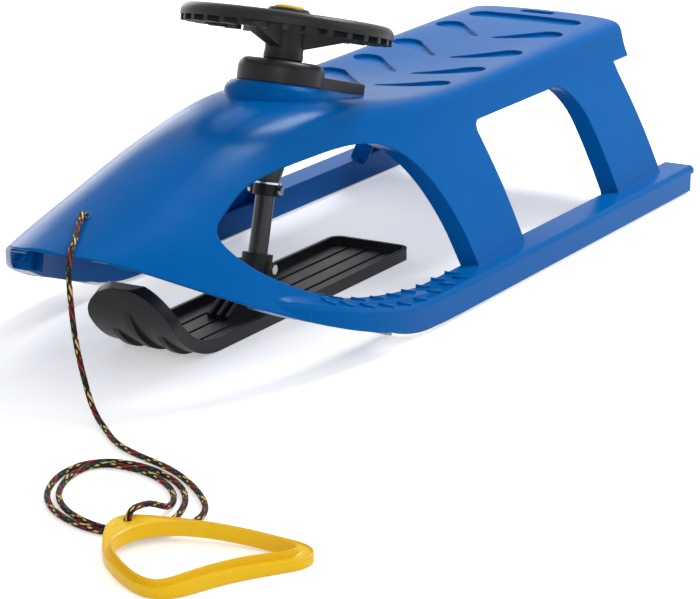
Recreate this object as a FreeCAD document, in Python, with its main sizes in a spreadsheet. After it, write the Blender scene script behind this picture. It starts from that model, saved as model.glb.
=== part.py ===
import FreeCAD, Part
import math
import os

import Sketcher

# Steering sled. +X points forwards, +Y to the rider's left, +Z up, in millimetres.
# The origin lies on the ground, below the middle of the body.

SIZES = {
    # body moulding
    "body_length": 1036,
    "track_width": 400,
    "seat_height": 200,
    "wall": 4,
    "seat_rear": 8,
    "skirt_depth": 42,
    "leg_flange_depth": 22,
    "flange_lap": 1,
    "leg_start": 48,
    "window_start_share": 0.1593,
    "window_length_share": 0.2317,
    "window_drop": 43,
    "window_rear_radius": 48,
    "window_front_radius": 12,
    "foot_opening_start_share": 0.4971,
    "foot_opening_length_share": 0.362,
    "foot_opening_bottom": 22,
    "foot_opening_drop": 22,
    "rib_thickness": 3,
    "rib_first_back": 51,
    "rib_second_back": 31,
    "recess_depth": 3.5,
    "recess_tip": 3,
    "hand_slot_length": 44,
    "hand_slot_width": 12,
    "hand_slot_inset": 15,
    # runners and their steel shoes
    "runner_width": 37,
    "runner_height": 32,
    "runner_heel": 8,
    "runner_flange": 9,
    "flat_share": 0.618,
    "rise_radius_share": 0.2558,
    "rise_angle": 21,
    "shoe_thickness": 3,
    "shoe_width": 33,
    "shoe_tail": 9,
    "shoe_screw_radius": 2,
    "shoe_screw_length": 10,
    "shoe_screw_head": 4,
    "shoe_screw_head_height": 2,
    "shoe_boss_radius": 7,
    # steering axis and its bearings
    "axis_foot_share": 0.65444,
    "axis_tilt": 15,
    "console_seat_share": 1.165,
    "plinth_depth": 20,
    "plinth_margin": 14,
    "plinth_edge": 12,
    "tower_radius": 18,
    "tower_length": 83,
    "bush_outer": 13,
    "bush_length": 24,
    "bush_flange_radius": 16,
    "bush_flange": 3,
    "bush_nose_radius": 12.5,
    "running_fit": 0.08,
    "press_gap": 0.05,
    # console cover
    "console_radius": 42,
    "console_tail": 97,
    "console_tail_half": 50,
    "console_corner": 10,
    "console_height": 12,
    "console_wall": 3,
    "console_edge": 3,
    "console_ring_radius": 38,
    "console_ring_height": 12,
    "console_ring_bore": 13,
    "console_ring_edge": 8,
    "console_ring_soft": 2.3,
    "console_screw_radius": 2,
    "console_screw_head": 3.5,
    "console_screw_head_height": 2,
    "console_screw_length": 13,
    "console_boss_radius": 6,
    # steering column
    "column_radius": 10,
    "column_bore": 8,
    "column_bottom": 14,
    "column_rise": 57,
    "column_clearance": 1.5,
    "plug_length": 28,
    "collar_drop": 32,
    "collar_height": 12,
    "collar_radius": 13.5,
    "collar_lug": 16,
    "collar_lug_width": 10,
    "collar_bolt_radius": 2.5,
    "collar_bolt_rise": 6,
    "collar_head": 4.5,
    "collar_head_height": 3.5,
    "collar_nut_height": 4,
    "washer_thickness": 2,
    "washer_radius": 15,
    "seat_gap": 0.3,
    # steering wheel
    "wheel_radius": 110,
    "rim_width": 25,
    "rim_height": 13,
    "rim_edge": 9,
    "rim_skin": 3,
    "rim_rise": 2,
    "rim_rib_drop": 6,
    "rim_rib_width": 6,
    "rim_rib_count": 30,
    "hub_radius": 20,
    "hub_depth": 30.5,
    "hub_crown": 12,
    "hub_web": 6,
    "hub_recess_radius": 13,
    "spoke_width": 14,
    "spoke_depth": 9,
    "spoke_rise": 8,
    "spoke_count": 3,
    "disc_radius": 23,
    "disc_height": 4,
    "cap_radius": 13,
    "cap_height": 5,
    "cap_edge": 2,
    "cap_stem_radius": 6,
    "cap_stem": 4,
    "bolt_radius": 4,
    "bolt_head": 7.5,
    "bolt_head_height": 4,
    "bolt_length": 26,
    "bolt_washer": 9,
    "bolt_washer_thickness": 1.2,
    # front ski
    "ski_behind": 254,
    "ski_width": 98,
    "ski_flat": 388,
    "ski_tip_radius": 101,
    "ski_tip_angle": 78,
    "ski_floor": 5,
    "ski_rim": 13,
    "ski_rim_wall": 4,
    "ski_corner": 14,
    "ski_tip_corner": 46,
    "ski_tip_slant": 64,
    "ski_groove_width": 4,
    "ski_groove_depth": 1.6,
    "ski_groove_pitch": 22,
    "ski_keel_width": 7,
    "ski_keel_height": 4,
    "ski_keel_pitch": 26,
    "socket_radius": 16,
    "socket_height": 58,
    "socket_lug": 19,
    "socket_lug_width": 14,
    "socket_bury": 20,
    "gusset_thickness": 4,
    "gusset_length": 62,
    "gusset_height": 44,
    "gusset_pitch": 11,
    "ski_bolt_radius": 3,
    "ski_bolt_height": 44,
    "ski_bolt_head": 5.5,
    "ski_bolt_head_height": 4,
    "ski_nut_height": 5,
    # tow rope and pull handle
    "rope_radius": 2.75,
    "rope_hole_radius": 4.5,
    "rope_hole_back": 71,
    "rope_hole_rim": 2.5,
    "rope_hole_rim_height": 1.2,
    "rope_rise": 8,
    "rope_drop": 8,
    "knot_radius": 6,
    "knot_length": 6,
    "knot_neck": 5,
    "knot_shoulder": 2,
    "handle_corner_radius": 20,
    "handle_opening_radius": 8,
    "handle_flange": 3,
    "handle_skirt": 8,
    "handle_wall": 3,
    "handle_collar": 13,
    "handle_lip": 1.5,
    "handle_lip_height": 1.2,
    "handle_tilt": 3.2,
    "handle_reach": 90,
    "handle_x": 1290,
    "handle_y": 322,
    "eyelet_radius": 4.5,
    # cuts and small values
    "overrun": 5,
}

# Places and lengths that follow from the sizes above.
DERIVED = {
    "skirt_bottom": "seat_height - skirt_depth",
    "window_start": "body_length * window_start_share",
    "window_length": "body_length * window_length_share",
    "window_top": "seat_height - window_drop",
    "foot_opening_start": "body_length * foot_opening_start_share",
    "foot_opening_length": "body_length * foot_opening_length_share",
    "foot_opening_height": "seat_height - foot_opening_drop - foot_opening_bottom",
    "rib_first": "body_length - rib_first_back",
    "rib_second": "body_length - rib_second_back",
    "flat_length": "body_length * flat_share",
    "rise_radius": "body_length * rise_radius_share",
    "axis_foot": "body_length * axis_foot_share",
    "console_seat": "seat_height * console_seat_share",
    "tower_bottom": "console_seat - tower_length",
    "column_top": "console_seat + column_rise",
    "collar_bottom": "tower_bottom - collar_drop",
    "collar_bolt_height": "collar_bottom + collar_bolt_rise",
    "hub_bottom": "column_top - hub_depth",
    "hub_top": "column_top + hub_crown",
    "rim_top": "hub_top + rim_rise",
    "ski_rear": "axis_foot - ski_behind",
    "rope_hole_place": "body_length - rope_hole_back",
}

doc = FreeCAD.newDocument("SteeringSled")
sheet = doc.addObject("Spreadsheet::Sheet", "Sizes")
cells = {alias: str(value) for alias, value in SIZES.items()}
cells.update({alias: "=" + terms for alias, terms in DERIVED.items()})
for row, (alias, content) in enumerate(cells.items(), start=1):
    sheet.set(f"A{row}", alias)
    sheet.set(f"B{row}", content)
    sheet.setAlias(f"B{row}", alias)
doc.recompute()

V = FreeCAD.Vector
Y_AXIS = V(0, 1, 0)
Z_AXIS = V(0, 0, 1)
SUB_PARTS = []


def mm(alias):
    """Read one driving dimension from the sheet."""
    return float(sheet.get(alias))


def at(x, y, z):
    """A point given from the rear end of the runners, in the part's frame."""
    return V(x - mm("body_length") / 2, y, z)


def keep(obj, label):
    """Give an object the name of its node and list it for export."""
    obj.Label = label
    SUB_PARTS.append(obj)
    return obj


def feature(label, shape):
    """A sub-part whose shape is worked out from the sheet in code."""
    obj = doc.addObject("Part::Feature", "Shape_" + label)
    obj.Shape = shape
    return keep(obj, label)


def bound(kind, name, **expressions):
    """A Part object whose properties follow sums of sheet names."""
    obj = doc.addObject(kind, name)
    for prop, terms in expressions.items():
        obj.setExpression(prop.replace("__", "."), sheet_sum(terms))
    return obj


def sheet_sum(terms):
    """A sum of aliases, such as 'wall + overrun', as an expression of the sheet."""
    return " ".join(word if word in "+-" else "Sizes." + word for word in terms.split())


def total(terms):
    """The number that a sum of aliases gives."""
    result = 0
    sign = 1
    for word in terms.split():
        if word in "+-":
            sign = 1 if word == "+" else -1
        else:
            result += sign * mm(word)
    return result


def profile_sketch(body, corners):
    """A closed outline on a body's XZ plane, whose corners are sums of aliases or nothing."""
    sketch = body.newObject("Sketcher::SketchObject", body.Name + "_profile")
    plane = next(f for f in body.Origin.OriginFeatures if f.Role == "XZ_Plane")
    sketch.AttachmentSupport = [(plane, "")]
    sketch.MapMode = "FlatFace"
    numbers = [V(total(across), total(along), 0) for across, along in corners]
    count = len(corners)
    for i in range(count):
        sketch.addGeometry(Part.LineSegment(numbers[i], numbers[(i + 1) % count]), False)
    for i in range(count):
        sketch.addConstraint(Sketcher.Constraint("Coincident", i, 2, (i + 1) % count, 1))
    for i, pair in enumerate(corners):
        for kind, axis, terms in zip(("DistanceX", "DistanceY"), (-2, -1), pair):
            if terms:
                place = Sketcher.Constraint(kind, -1, 1, i, 1, total(terms))
                index = sketch.addConstraint(place)
                sketch.setExpression(f"Constraints[{index}]", sheet_sum(terms))
            else:
                sketch.addConstraint(Sketcher.Constraint("PointOnObject", i, 1, axis))
    return sketch


def turned_body(name, corners, placement):
    """A body turned about its own Z axis from corners of (radius, height)."""
    body = doc.addObject("PartDesign::Body", "Body_" + name)
    sketch = profile_sketch(body, corners)
    turn = body.newObject("PartDesign::Revolution", "Turn_" + name)
    turn.Profile = sketch
    turn.ReferenceAxis = (sketch, ["V_Axis"])
    turn.Angle = 360
    body.Tip = turn
    doc.recompute()
    body.Placement = placement
    return body


def turned(label, corners, placement):
    """A turned body that is a sub-part by itself."""
    return keep(turned_body(label, corners, placement), label)


def joined(name, pieces):
    """Several objects as one."""
    whole = doc.addObject("Part::MultiFuse", "Join_" + name)
    whole.Shapes = pieces
    doc.recompute()
    return whole


def cut_away(label, base, tools):
    """A sub-part made by cutting tools from a base object."""
    cut = doc.addObject("Part::Cut", "Cut_" + label)
    cut.Base = base
    cut.Tool = tools[0] if len(tools) == 1 else joined(label + "_tools", tools)
    doc.recompute()
    return keep(cut, label)


def hex_bolt(label, radius, length, head, head_height, placement):
    """A hexagon bolt whose head stands on its own XY plane, with the shank below."""
    shank = bound("Part::Cylinder", "Shank_" + label, Radius=radius, Height=length)
    shank.Placement = placement.multiply(FreeCAD.Placement(V(0, 0, -total(length)), FreeCAD.Rotation()))
    top = bound("Part::Prism", "Head_" + label, Circumradius=head, Height=head_height)
    top.Placement = placement
    return keep(joined(label, [shank, top]), label)


def hex_nut(label, radius, size, height, placement):
    """A hexagon nut that stands on its own XY plane."""
    blank = bound("Part::Prism", "Blank_" + label, Circumradius=size, Height=height)
    bore = bound("Part::Cylinder", "Bore_" + label, Radius=radius, Height=height)
    for piece in (blank, bore):
        piece.Placement = placement
    return cut_away(label, blank, [bore])


# Body cage: rows from the rear to the nose, each with its place along the body, how far
# its sides sweep back, and its points from the middle of the top to the foot of the side.
CAGE_SHARES = (
    (0.0077, 0.0, (
        (0, 1.015), (0.275, 1.01), (0.475, 0.998), (0.525, 0.96),
        (0.54, 0.79), (0.745, 0.5), (0.9, 0.13),
    )),
    (0.058, 0.0, (
        (0, 1.005), (0.275, 1.005), (0.48, 1), (0.528, 0.96),
        (0.542, 0.79), (0.745, 0.5), (0.9, 0.13),
    )),
    (0.174, 0.0, (
        (0, 0.97), (0.275, 0.975), (0.48, 0.995), (0.528, 0.95),
        (0.542, 0.785), (0.745, 0.5), (0.9, 0.13),
    )),
    (0.299, 0.0, (
        (0, 0.94), (0.275, 0.95), (0.48, 0.98), (0.528, 0.94),
        (0.545, 0.78), (0.745, 0.5), (0.9, 0.13),
    )),
    (0.415, 0.0, (
        (0, 0.945), (0.275, 0.95), (0.48, 0.975), (0.528, 0.935),
        (0.55, 0.78), (0.745, 0.5), (0.9, 0.13),
    )),
    (0.502, 0.0, (
        (0, 0.995), (0.25, 0.995), (0.455, 1), (0.51, 0.945),
        (0.54, 0.8), (0.735, 0.51), (0.91, 0.13),
    )),
    (0.569, 0.0, (
        (0, 1.065), (0.225, 1.075), (0.41, 1.045), (0.47, 0.96),
        (0.515, 0.83), (0.72, 0.505), (0.935, 0.125),
    )),
    (0.637, 0.0, (
        (0, 1.115), (0.2, 1.115), (0.36, 1.065), (0.43, 0.97),
        (0.49, 0.85), (0.705, 0.49), (0.965, 0.12),
    )),
    (0.714, 0.0, (
        (0, 1.1), (0.19, 1.085), (0.325, 1.015), (0.42, 0.925),
        (0.51, 0.81), (0.73, 0.475), (0.99, 0.1),
    )),
    (0.791, 0.0, (
        (0, 1.03), (0.185, 1.01), (0.32, 0.93), (0.435, 0.835),
        (0.55, 0.715), (0.755, 0.45), (0.955, 0.14),
    )),
    (0.859, 0.0, (
        (0, 0.93), (0.185, 0.91), (0.32, 0.83), (0.44, 0.73),
        (0.57, 0.6), (0.735, 0.42), (0.885, 0.19),
    )),
    (0.917, 0.2, (
        (0, 0.842), (0.18, 0.83), (0.315, 0.765), (0.43, 0.675),
        (0.535, 0.555), (0.645, 0.415), (0.76, 0.23),
    )),
    (0.965, 0.6, (
        (0, 0.782), (0.16, 0.772), (0.29, 0.725), (0.4, 0.64),
        (0.5, 0.52), (0.58, 0.41), (0.66, 0.275),
    )),
    (1.004, 1.15, (
        (0, 0.75), (0.14, 0.74), (0.25, 0.7), (0.35, 0.625),
        (0.44, 0.51), (0.51, 0.4), (0.58, 0.275),
    )),
)
# Part of the skin, counted from its foot, that carries the edges of the side openings.
SIDE_SPAN_SHARE = 0.3
# Runner and front leg: place along the body, then outer foot, the two edges of the outer top,
# inner top and inner foot as shares of half the track and of the runner's height.
RUNNER_SHARES = (
    (0.0, ((1.0, 0.094), (1.0, 0.88), (0.982, 1.0), (0.815, 1.0), (0.815, 0.094))),
    (0.30, ((1.0, 0.094), (1.0, 0.88), (0.982, 1.0), (0.815, 1.0), (0.815, 0.094))),
    (0.54, ((1.0, 0.094), (1.0, 0.88), (0.982, 1.0), (0.815, 1.0), (0.815, 0.094))),
    (0.618, ((1.0, 0.094), (1.0, 0.88), (0.982, 1.0), (0.815, 1.0), (0.815, 0.094))),
    (0.666, ((1.0, 0.24), (1.0, 0.99), (0.982, 1.115), (0.81, 1.125), (0.81, 0.24))),
    (0.709, ((0.99, 0.60), (0.989, 1.27), (0.968, 1.4), (0.79, 1.485), (0.79, 0.60))),
    (0.763, ((0.945, 1.10), (0.945, 1.64), (0.922, 1.8), (0.75, 2.03), (0.76, 1.16))),
    (0.811, ((0.865, 1.65), (0.868, 2.08), (0.848, 2.3), (0.68, 2.75), (0.70, 1.72))),
    (0.854, ((0.735, 2.15), (0.72, 2.43), (0.70, 2.62), (0.60, 3.30), (0.63, 2.15))),
)
RUNNER_HOLLOW_SECTIONS = slice(0, 8)
# Outline of the foot opening, as shares of its length and height, from its rear foot.
FOOT_OPENING_SHARES = (
    (0.005, 0.25), (0.03, 0.52), (0.085, 0.755), (0.17, 0.905), (0.29, 0.98), (0.50, 1.0),
    (0.68, 0.985), (0.82, 0.935), (0.925, 0.845), (0.99, 0.74), (0.972, 0.615),
    (0.91, 0.482), (0.825, 0.368), (0.745, 0.284), (0.585, 0.175), (0.415, 0.105), (0.265, 0.06),
)
# Drop-shaped recesses in the seat, on both sides: tip, middle of the round end and its radius,
# as shares of the seat's length and of its half width.
SEAT_RECESS_SHARES = (
    ((0.227, 0.13), (0.175, 0.675), 0.175),
    ((0.382, 0.13), (0.330, 0.675), 0.177),
    ((0.518, 0.13), (0.466, 0.675), 0.177),
    ((0.640, 0.13), (0.588, 0.675), 0.177),
)
SEAT_BAR_SHARES = ((0.0746, -0.604), (0.0746, 0.604), 0.156)
SEAT_SPAN_SHARE = 0.5
SEAT_HALF_SHARE = 0.48
# Places of the shoe screws along the body, and of the console screws on the cover.
SHOE_SCREW_SHARES = (0.03, 0.22, 0.42, 0.60)
CONSOLE_SCREW_SHARES = ((-0.85, 0.72), (-0.85, -0.72), (-0.32, 0.78), (-0.32, -0.78))
# How close a search along the skin comes, and how much of a run a bend takes.
SEARCH_SHARE = 0.000001
BEND_SHARE = 0.45
POINTS_PER_ARC = 24

# Lower edge of the nose, behind the rising end of the runner: shares of the body's length and
# the seat's height.
RIM_SHARES = ((0.79, 0.23), (0.878, 0.43), (0.931, 0.575), (0.975, 0.69), (1.0, 0.735))
# Keels under the ski's tip: place in pitches from the middle, and ends as shares of its turn.
KEEL_SHARES = ((-1, 0.06, 0.62), (0, 0.06, 0.86), (1, 0.06, 0.62))
# Corners of the pull handle and of its opening, anticlockwise, and the rope's eyelet, as shares
# of the handle's reach.
HANDLE_SHARES = (
    (-0.167, -0.667), (0.256, -0.4), (0.678, 0.156), (-0.456, 0.767), (-0.478, 0.111),
)
OPENING_SHARES = (
    (-0.022, -0.456), (0.233, -0.444), (0.651, 0.127), (-0.393, 0.704), (-0.344, 0.089),
)
EYELET_SHARE = (-0.213, -0.769)

# Tow rope, hood to coil: points chosen by hand, from the rear end of the runners.
ROPE_POINTS = (
    (986, 9, 164), (1003, 18, 160), (1020, 27, 157.5), (1036, 34, 152), (1045.5, 38, 138),
    (1047, 40, 118), (1046, 41, 96), (1045, 43, 74), (1043, 46, 52), (1042, 51, 31),
    (1044, 58, 14), (1052, 71, 4), (1066, 88, 2.75), (1082, 105, 2.75), (1096, 123, 2.75),
    (1106, 143, 2.75), (1114, 164, 2.75), (1121, 187, 2.75), (1132, 210, 2.75), (1148, 234, 2.75),
    (1167, 256.5, 2.75), (1185.5, 273.5, 2.75), (1206, 284, 2.75), (1226, 284, 2.75),
)
# Quarter turns of the flat coil that follows, each with its own radius, turning to the right.
COIL_RADII = (51, 109, 36, 107, 30, 104.5, 23)
# Tow rope, coil to handle: points chosen by hand, after the end of the coil.
ROPE_END_POINTS = (
    (1141.5, 176, 2.75), (1147, 196, 2.75), (1157, 214, 2.75), (1171, 231, 2.75), (1188, 243.5, 2.75),
    (1205, 250, 4), (1219, 253, 9.5), (1233, 255, 16.5), (1247, 255.5, 22),
)


def rows_of_cage(depth):
    """Control points of the skin, moved inwards by a depth."""
    half = mm("track_width") / 2
    tall = mm("seat_height")
    rows = []
    for along, sweep, side in CAGE_SHARES:
        near = []
        for across, up in reversed(side):
            back = sweep * half * across * across
            near.append(at(along * mm("body_length") - back, across * half, up * tall))
        far = [V(p.x, -p.y, p.z) for p in reversed(near[:-1])]
        rows.append(near + far)
    return [[p + inward(rows, i, j) * depth for j, p in enumerate(row)] for i, row in enumerate(rows)]


def inward(rows, i, j):
    """Unit normal of the cage, pointing into the body."""
    along = rows[min(i + 1, len(rows) - 1)][j] - rows[i - 1][j] if i else V(1, 0, 0)
    row = rows[i]
    around = row[min(j + 1, len(row) - 1)] - row[max(j - 1, 0)]
    return along.cross(around).normalize()


def clamped_knots(count):
    """Knots and multiplicities of a cubic curve that ends at its last points."""
    knots = list(range(count - 2))
    return knots, [4] + [1] * (count - 4) + [4]


def skin(depth):
    """The body's freeform surface at a depth below its outer face."""
    poles = rows_of_cage(depth)
    u_knots, u_mults = clamped_knots(len(poles))
    v_knots, v_mults = clamped_knots(len(poles[0]))
    surface = Part.BSplineSurface()
    surface.buildFromPolesMultsKnots(poles, u_mults, v_mults, u_knots, v_knots, False, False, 3, 3)
    return surface


def solid_between(outer, inner):
    """A closed solid between two surfaces with the same knots."""
    u0, u1, v0, v1 = outer.bounds()
    faces = [outer.toShape(), inner.toShape()]
    for u in (u0, u1):
        faces.append(Part.makeRuledSurface(outer.uIso(u).toShape(), inner.uIso(u).toShape()))
    for v in (v0, v1):
        faces.append(Part.makeRuledSurface(outer.vIso(v).toShape(), inner.vIso(v).toShape()))
    shell = Part.makeShell(faces)
    shell.sewShape()
    return outward(Part.makeSolid(shell))


def outward(solid):
    """The same solid with its faces pointing outwards."""
    if solid.Volume < 0:
        solid.reverse()
    return solid


def across_body(face):
    """Extrude a face of the XZ plane through the whole width of the body."""
    reach = mm("track_width")
    return face.translated(V(0, -reach, 0)).extrude(V(0, 2 * reach, 0))


def polygon_face(points):
    """A flat face with straight sides."""
    return Part.Face(Part.makePolygon(list(points) + [points[0]]))


def box_between(low, high):
    """A box from its lowest to its highest corner."""
    span = high - low
    return Part.makeBox(span.x, span.y, span.z, low)


def rounded_outline(corners):
    """A closed wire through corners given as (point, radius), in the plane of the points."""
    edges = []
    ends = []
    count = len(corners)
    for i, (point, radius) in enumerate(corners):
        before = (corners[i - 1][0] - point).normalize()
        after = (corners[(i + 1) % count][0] - point).normalize()
        half = before.getAngle(after) / 2
        reach = radius / math.tan(half)
        middle = point + (before + after).normalize() * (radius / math.sin(half) - radius)
        ends.append((point + before * reach, middle, point + after * reach))
    for i, (start, middle, end) in enumerate(ends):
        edges.append(Part.Arc(start, middle, end).toShape())
        edges.append(Part.LineSegment(end, ends[(i + 1) % count][0]).toShape())
    return Part.Wire(edges)


def rear_window(grow):
    """The opening between the rear and middle legs, grown on all sides."""
    start = mm("window_start") - grow
    end = mm("window_start") + mm("window_length") + grow
    top = mm("window_top") + grow
    low = mm("foot_opening_bottom")
    small = mm("window_front_radius")
    wire = rounded_outline((
        (at(start, 0, low), small),
        (at(end, 0, low), small),
        (at(end, 0, top), mm("window_front_radius") + grow),
        (at(start, 0, top), mm("window_rear_radius") + grow),
    ))
    return across_body(Part.Face(wire))


def foot_opening(grow):
    """The long opening beside the column, grown on all sides."""
    length = mm("foot_opening_length")
    height = mm("foot_opening_height")
    points = []
    for along, up in FOOT_OPENING_SHARES:
        x = mm("foot_opening_start") + along * length + (2 * along - 1) * grow
        z = mm("foot_opening_bottom") + up * height + (2 * up - 1) * grow
        points.append(at(x, 0, z))
    curve = Part.BSplineCurve()
    curve.interpolate(points)
    low_rear = at(mm("foot_opening_start") - grow, 0, mm("foot_opening_bottom") - grow)
    low_front = V(points[-1].x, 0, low_rear.z)
    edges = [
        curve.toShape(),
        Part.LineSegment(points[-1], low_front).toShape(),
        Part.LineSegment(low_front, low_rear).toShape(),
        Part.LineSegment(low_rear, points[0]).toShape(),
    ]
    return across_body(Part.Face(Part.Wire(edges)))


def arc_point(share, lift):
    """A point of the runner's rising arc, lifted along its normal."""
    angle = math.radians(mm("rise_angle")) * share
    radius = mm("rise_radius") - lift
    return at(
        mm("flat_length") + radius * math.sin(angle),
        0,
        mm("rise_radius") - radius * math.cos(angle),
    )


def below_rim():
    """Everything under the lower edge of the runners and the nose, and ahead of the tip."""
    lift = mm("shoe_thickness")
    start = arc_point(0, lift)
    end = arc_point(1, lift)
    points = [end]
    for along, up in RIM_SHARES:
        points.append(at(along * mm("body_length"), 0, up * mm("seat_height")))
    rim = Part.BSplineCurve()
    rim.interpolate(points)
    tip = points[-1]
    high = V(tip.x, 0, mm("seat_height"))
    far = V(tip.x + mm("track_width"), 0, high.z)
    bottom = -mm("track_width")
    back = at(-mm("overrun"), 0, lift)
    edges = [
        Part.LineSegment(back, start).toShape(),
        Part.Arc(start, arc_point(0.5, lift), end).toShape(),
        rim.toShape(),
        Part.LineSegment(tip, high).toShape(),
        Part.LineSegment(high, far).toShape(),
        Part.LineSegment(far, V(far.x, 0, bottom)).toShape(),
        Part.LineSegment(V(far.x, 0, bottom), V(back.x, 0, bottom)).toShape(),
        Part.LineSegment(V(back.x, 0, bottom), back).toShape(),
    ]
    return across_body(Part.Face(Part.Wire(edges)))


def mirrored(shape):
    """The same shape on the other side of the sled."""
    return shape.mirror(V(0, 0, 0), Y_AXIS)


def both(shape):
    """A shape and its mirror image."""
    return [shape, mirrored(shape)]


def steering_place():
    """Local frame of the steering axis: origin on the ground, Z up along the column."""
    return FreeCAD.Placement(at(mm("axis_foot"), 0, 0), FreeCAD.Rotation(Y_AXIS, -mm("axis_tilt")))


def console_outline(margin):
    """Plan of the console cover: round in front, widening to two rear corners."""
    radius = mm("console_radius") + margin
    tail = -(mm("console_tail") + margin)
    half = mm("console_tail_half") + margin
    corner = mm("console_corner") + margin
    rear_left = V(tail + corner, half - corner, 0)
    away = rear_left.Length
    lean = math.acos((radius - corner) / away)
    heading = math.atan2(rear_left.y, rear_left.x) - lean
    tangent = V(math.cos(heading), math.sin(heading), 0)
    front = tangent * radius
    rear = rear_left + tangent * corner
    behind = rear_left - V(corner, 0, 0)
    bisector = (tangent - V(1, 0, 0)).normalize()
    flip = lambda p: V(p.x, -p.y, 0)
    edges = [
        Part.Arc(flip(front), V(radius, 0, 0), front).toShape(),
        Part.LineSegment(front, rear).toShape(),
        Part.Arc(rear, rear_left + bisector * corner, behind).toShape(),
        Part.LineSegment(behind, flip(behind)).toShape(),
        Part.Arc(flip(behind), flip(rear_left + bisector * corner), flip(rear)).toShape(),
        Part.LineSegment(flip(rear), flip(front)).toShape(),
    ]
    return Part.Face(Part.Wire(edges))


def axial(radius, low, high):
    """A cylinder on the steering axis, between two heights along it."""
    return Part.makeCylinder(radius, high - low, V(0, 0, low), Z_AXIS)


def in_steering(shape):
    """Move a shape from the steering axis's frame to the part's."""
    moved = shape.copy()
    moved.Placement = steering_place().multiply(moved.Placement)
    return moved


def seat_point(share):
    """A place on the seat's plan, from shares of its length and half width."""
    length = mm("axis_foot") - mm("seat_rear")
    half = SEAT_HALF_SHARE * mm("track_width") / 2
    return at(mm("seat_rear") + share[0] * length, share[1] * half, 0)


def drop_prism(tip, middle, radius, grow):
    """A drop-shaped prism over the seat, from its tip and its round end, grown on all sides."""
    a = seat_point(tip)
    c = seat_point(middle)
    large = radius * SEAT_HALF_SHARE * mm("track_width") / 2 + grow
    small = mm("recess_tip") + grow
    reach = (c - a).Length
    along = (c - a).normalize()
    side = along.cross(Z_AXIS)
    lean = math.asin((large - small) / reach)
    first = side * math.cos(lean) - along * math.sin(lean)
    second = side * -math.cos(lean) - along * math.sin(lean)
    wire = Part.Wire([
        Part.LineSegment(a + first * small, c + first * large).toShape(),
        Part.Arc(c + first * large, c + along * large, c + second * large).toShape(),
        Part.LineSegment(c + second * large, a + second * small).toShape(),
        Part.Arc(a + second * small, a - along * small, a + first * small).toShape(),
    ])
    return Part.Face(wire).extrude(V(0, 0, mm("seat_height") * 2))


def slot_prism(a, b, half_width, height):
    """A slot with round ends between two points, raised by a height."""
    along = (b - a).normalize()
    side = along.cross(Z_AXIS) * half_width
    wire = Part.Wire([
        Part.LineSegment(a + side, b + side).toShape(),
        Part.Arc(b + side, b + along * half_width, b - side).toShape(),
        Part.LineSegment(b - side, a - side).toShape(),
        Part.Arc(a - side, a - along * half_width, a + side).toShape(),
    ])
    return Part.Face(wire).extrude(V(0, 0, height))


def seat_layer(outside, inside):
    """The part of the seat between two depths below its outer face."""
    surfaces = [skin(outside), skin(inside)]
    for surface in surfaces:
        u0, u1, v0, v1 = surface.bounds()
        middle = (v0 + v1) / 2
        span = (v1 - v0) / 2 * SEAT_SPAN_SHARE
        surface.segment(u0, u0 + (u1 - u0) * SEAT_SPAN_SHARE, middle - span, middle + span)
    return solid_between(*surfaces)


def seat_recesses(outside, inside, grow):
    """The recesses of the seat between two depths, or the thickening under them when grown."""
    layer = seat_layer(outside, inside)
    prisms = []
    for tip, middle, radius in SEAT_RECESS_SHARES:
        prisms += both(drop_prism(tip, middle, radius, grow))
    first, second, width = SEAT_BAR_SHARES
    half = SEAT_HALF_SHARE * mm("track_width") / 2
    tall = mm("seat_height") * 2
    prisms.append(slot_prism(seat_point(first), seat_point(second), width * half + grow, tall))
    return [layer.common(prism) for prism in prisms]


def runner_bar(sections, inset, deepen):
    """The runner and front leg as a bar with five smooth sides, inset and deepened for its hollow."""
    half = mm("track_width") / 2
    rails = ([], [], [], [], [])
    for along, corners in sections:
        for k, (across, up) in enumerate(corners):
            side = inset if k in (3, 4) else -inset
            drop = inset if k in (1, 2, 3) else deepen
            place = at(along * mm("body_length"), across * half + side, up * mm("runner_height") - drop)
            rails[k].append(place)
    knots, mults = clamped_knots(len(sections))
    edges = []
    for rail in rails:
        curve = Part.BSplineCurve()
        curve.buildFromPolesMultsKnots(rail, mults, knots, False, 3)
        edges.append(curve.toShape())
    faces = [Part.makeRuledSurface(edges[k - 1], edges[k]) for k in range(len(edges))]
    for end in (0, -1):
        faces.append(polygon_face([rail[end] for rail in rails]))
    shell = Part.makeShell(faces)
    shell.sewShape()
    return outward(Part.makeSolid(shell))


def runner_hollow():
    """The open space under the runner, closed at its rear end."""
    hollow = runner_bar(RUNNER_SHARES[RUNNER_HOLLOW_SECTIONS], mm("wall"), mm("runner_height"))
    tail = mm("shoe_tail") + mm("wall")
    reach = mm("track_width")
    return hollow.cut(box_between(at(-reach, -reach, -reach), at(tail, reach, reach)))


def rope_hole():
    """Middle of the rope's hole on the outside of the hood, and its direction outwards."""
    surface = skin(0)
    u0, u1, v0, v1 = surface.bounds()
    middle = (v0 + v1) / 2
    target = at(mm("rope_hole_place"), 0, 0).x
    low, high = u0, u1
    while high - low > SEARCH_SHARE * (u1 - u0):
        u = (low + high) / 2
        if surface.value(u, middle).x < target:
            low = u
        else:
            high = u
    point = surface.value(low, middle)
    normal = surface.normal(low, middle)
    return point, normal if normal.z > 0 else -normal


def along_from(point, direction, radius, low, high):
    """A cylinder along a direction, between two distances from a point."""
    return Part.makeCylinder(radius, high - low, point + direction * low, direction)


def screw_places():
    """Shoe screws of one side: their points on the ground."""
    middle = mm("track_width") / 2 - mm("runner_width") / 2
    return [at(share * mm("body_length"), middle, 0) for share in SHOE_SCREW_SHARES]


def console_screw_places():
    """Console screws in the steering frame, on the seat of the cover."""
    places = []
    for along, across in CONSOLE_SCREW_SHARES:
        x = along * mm("console_tail")
        y = across * mm("console_tail_half")
        places.append(V(x, y, mm("console_seat")))
    return places


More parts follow.
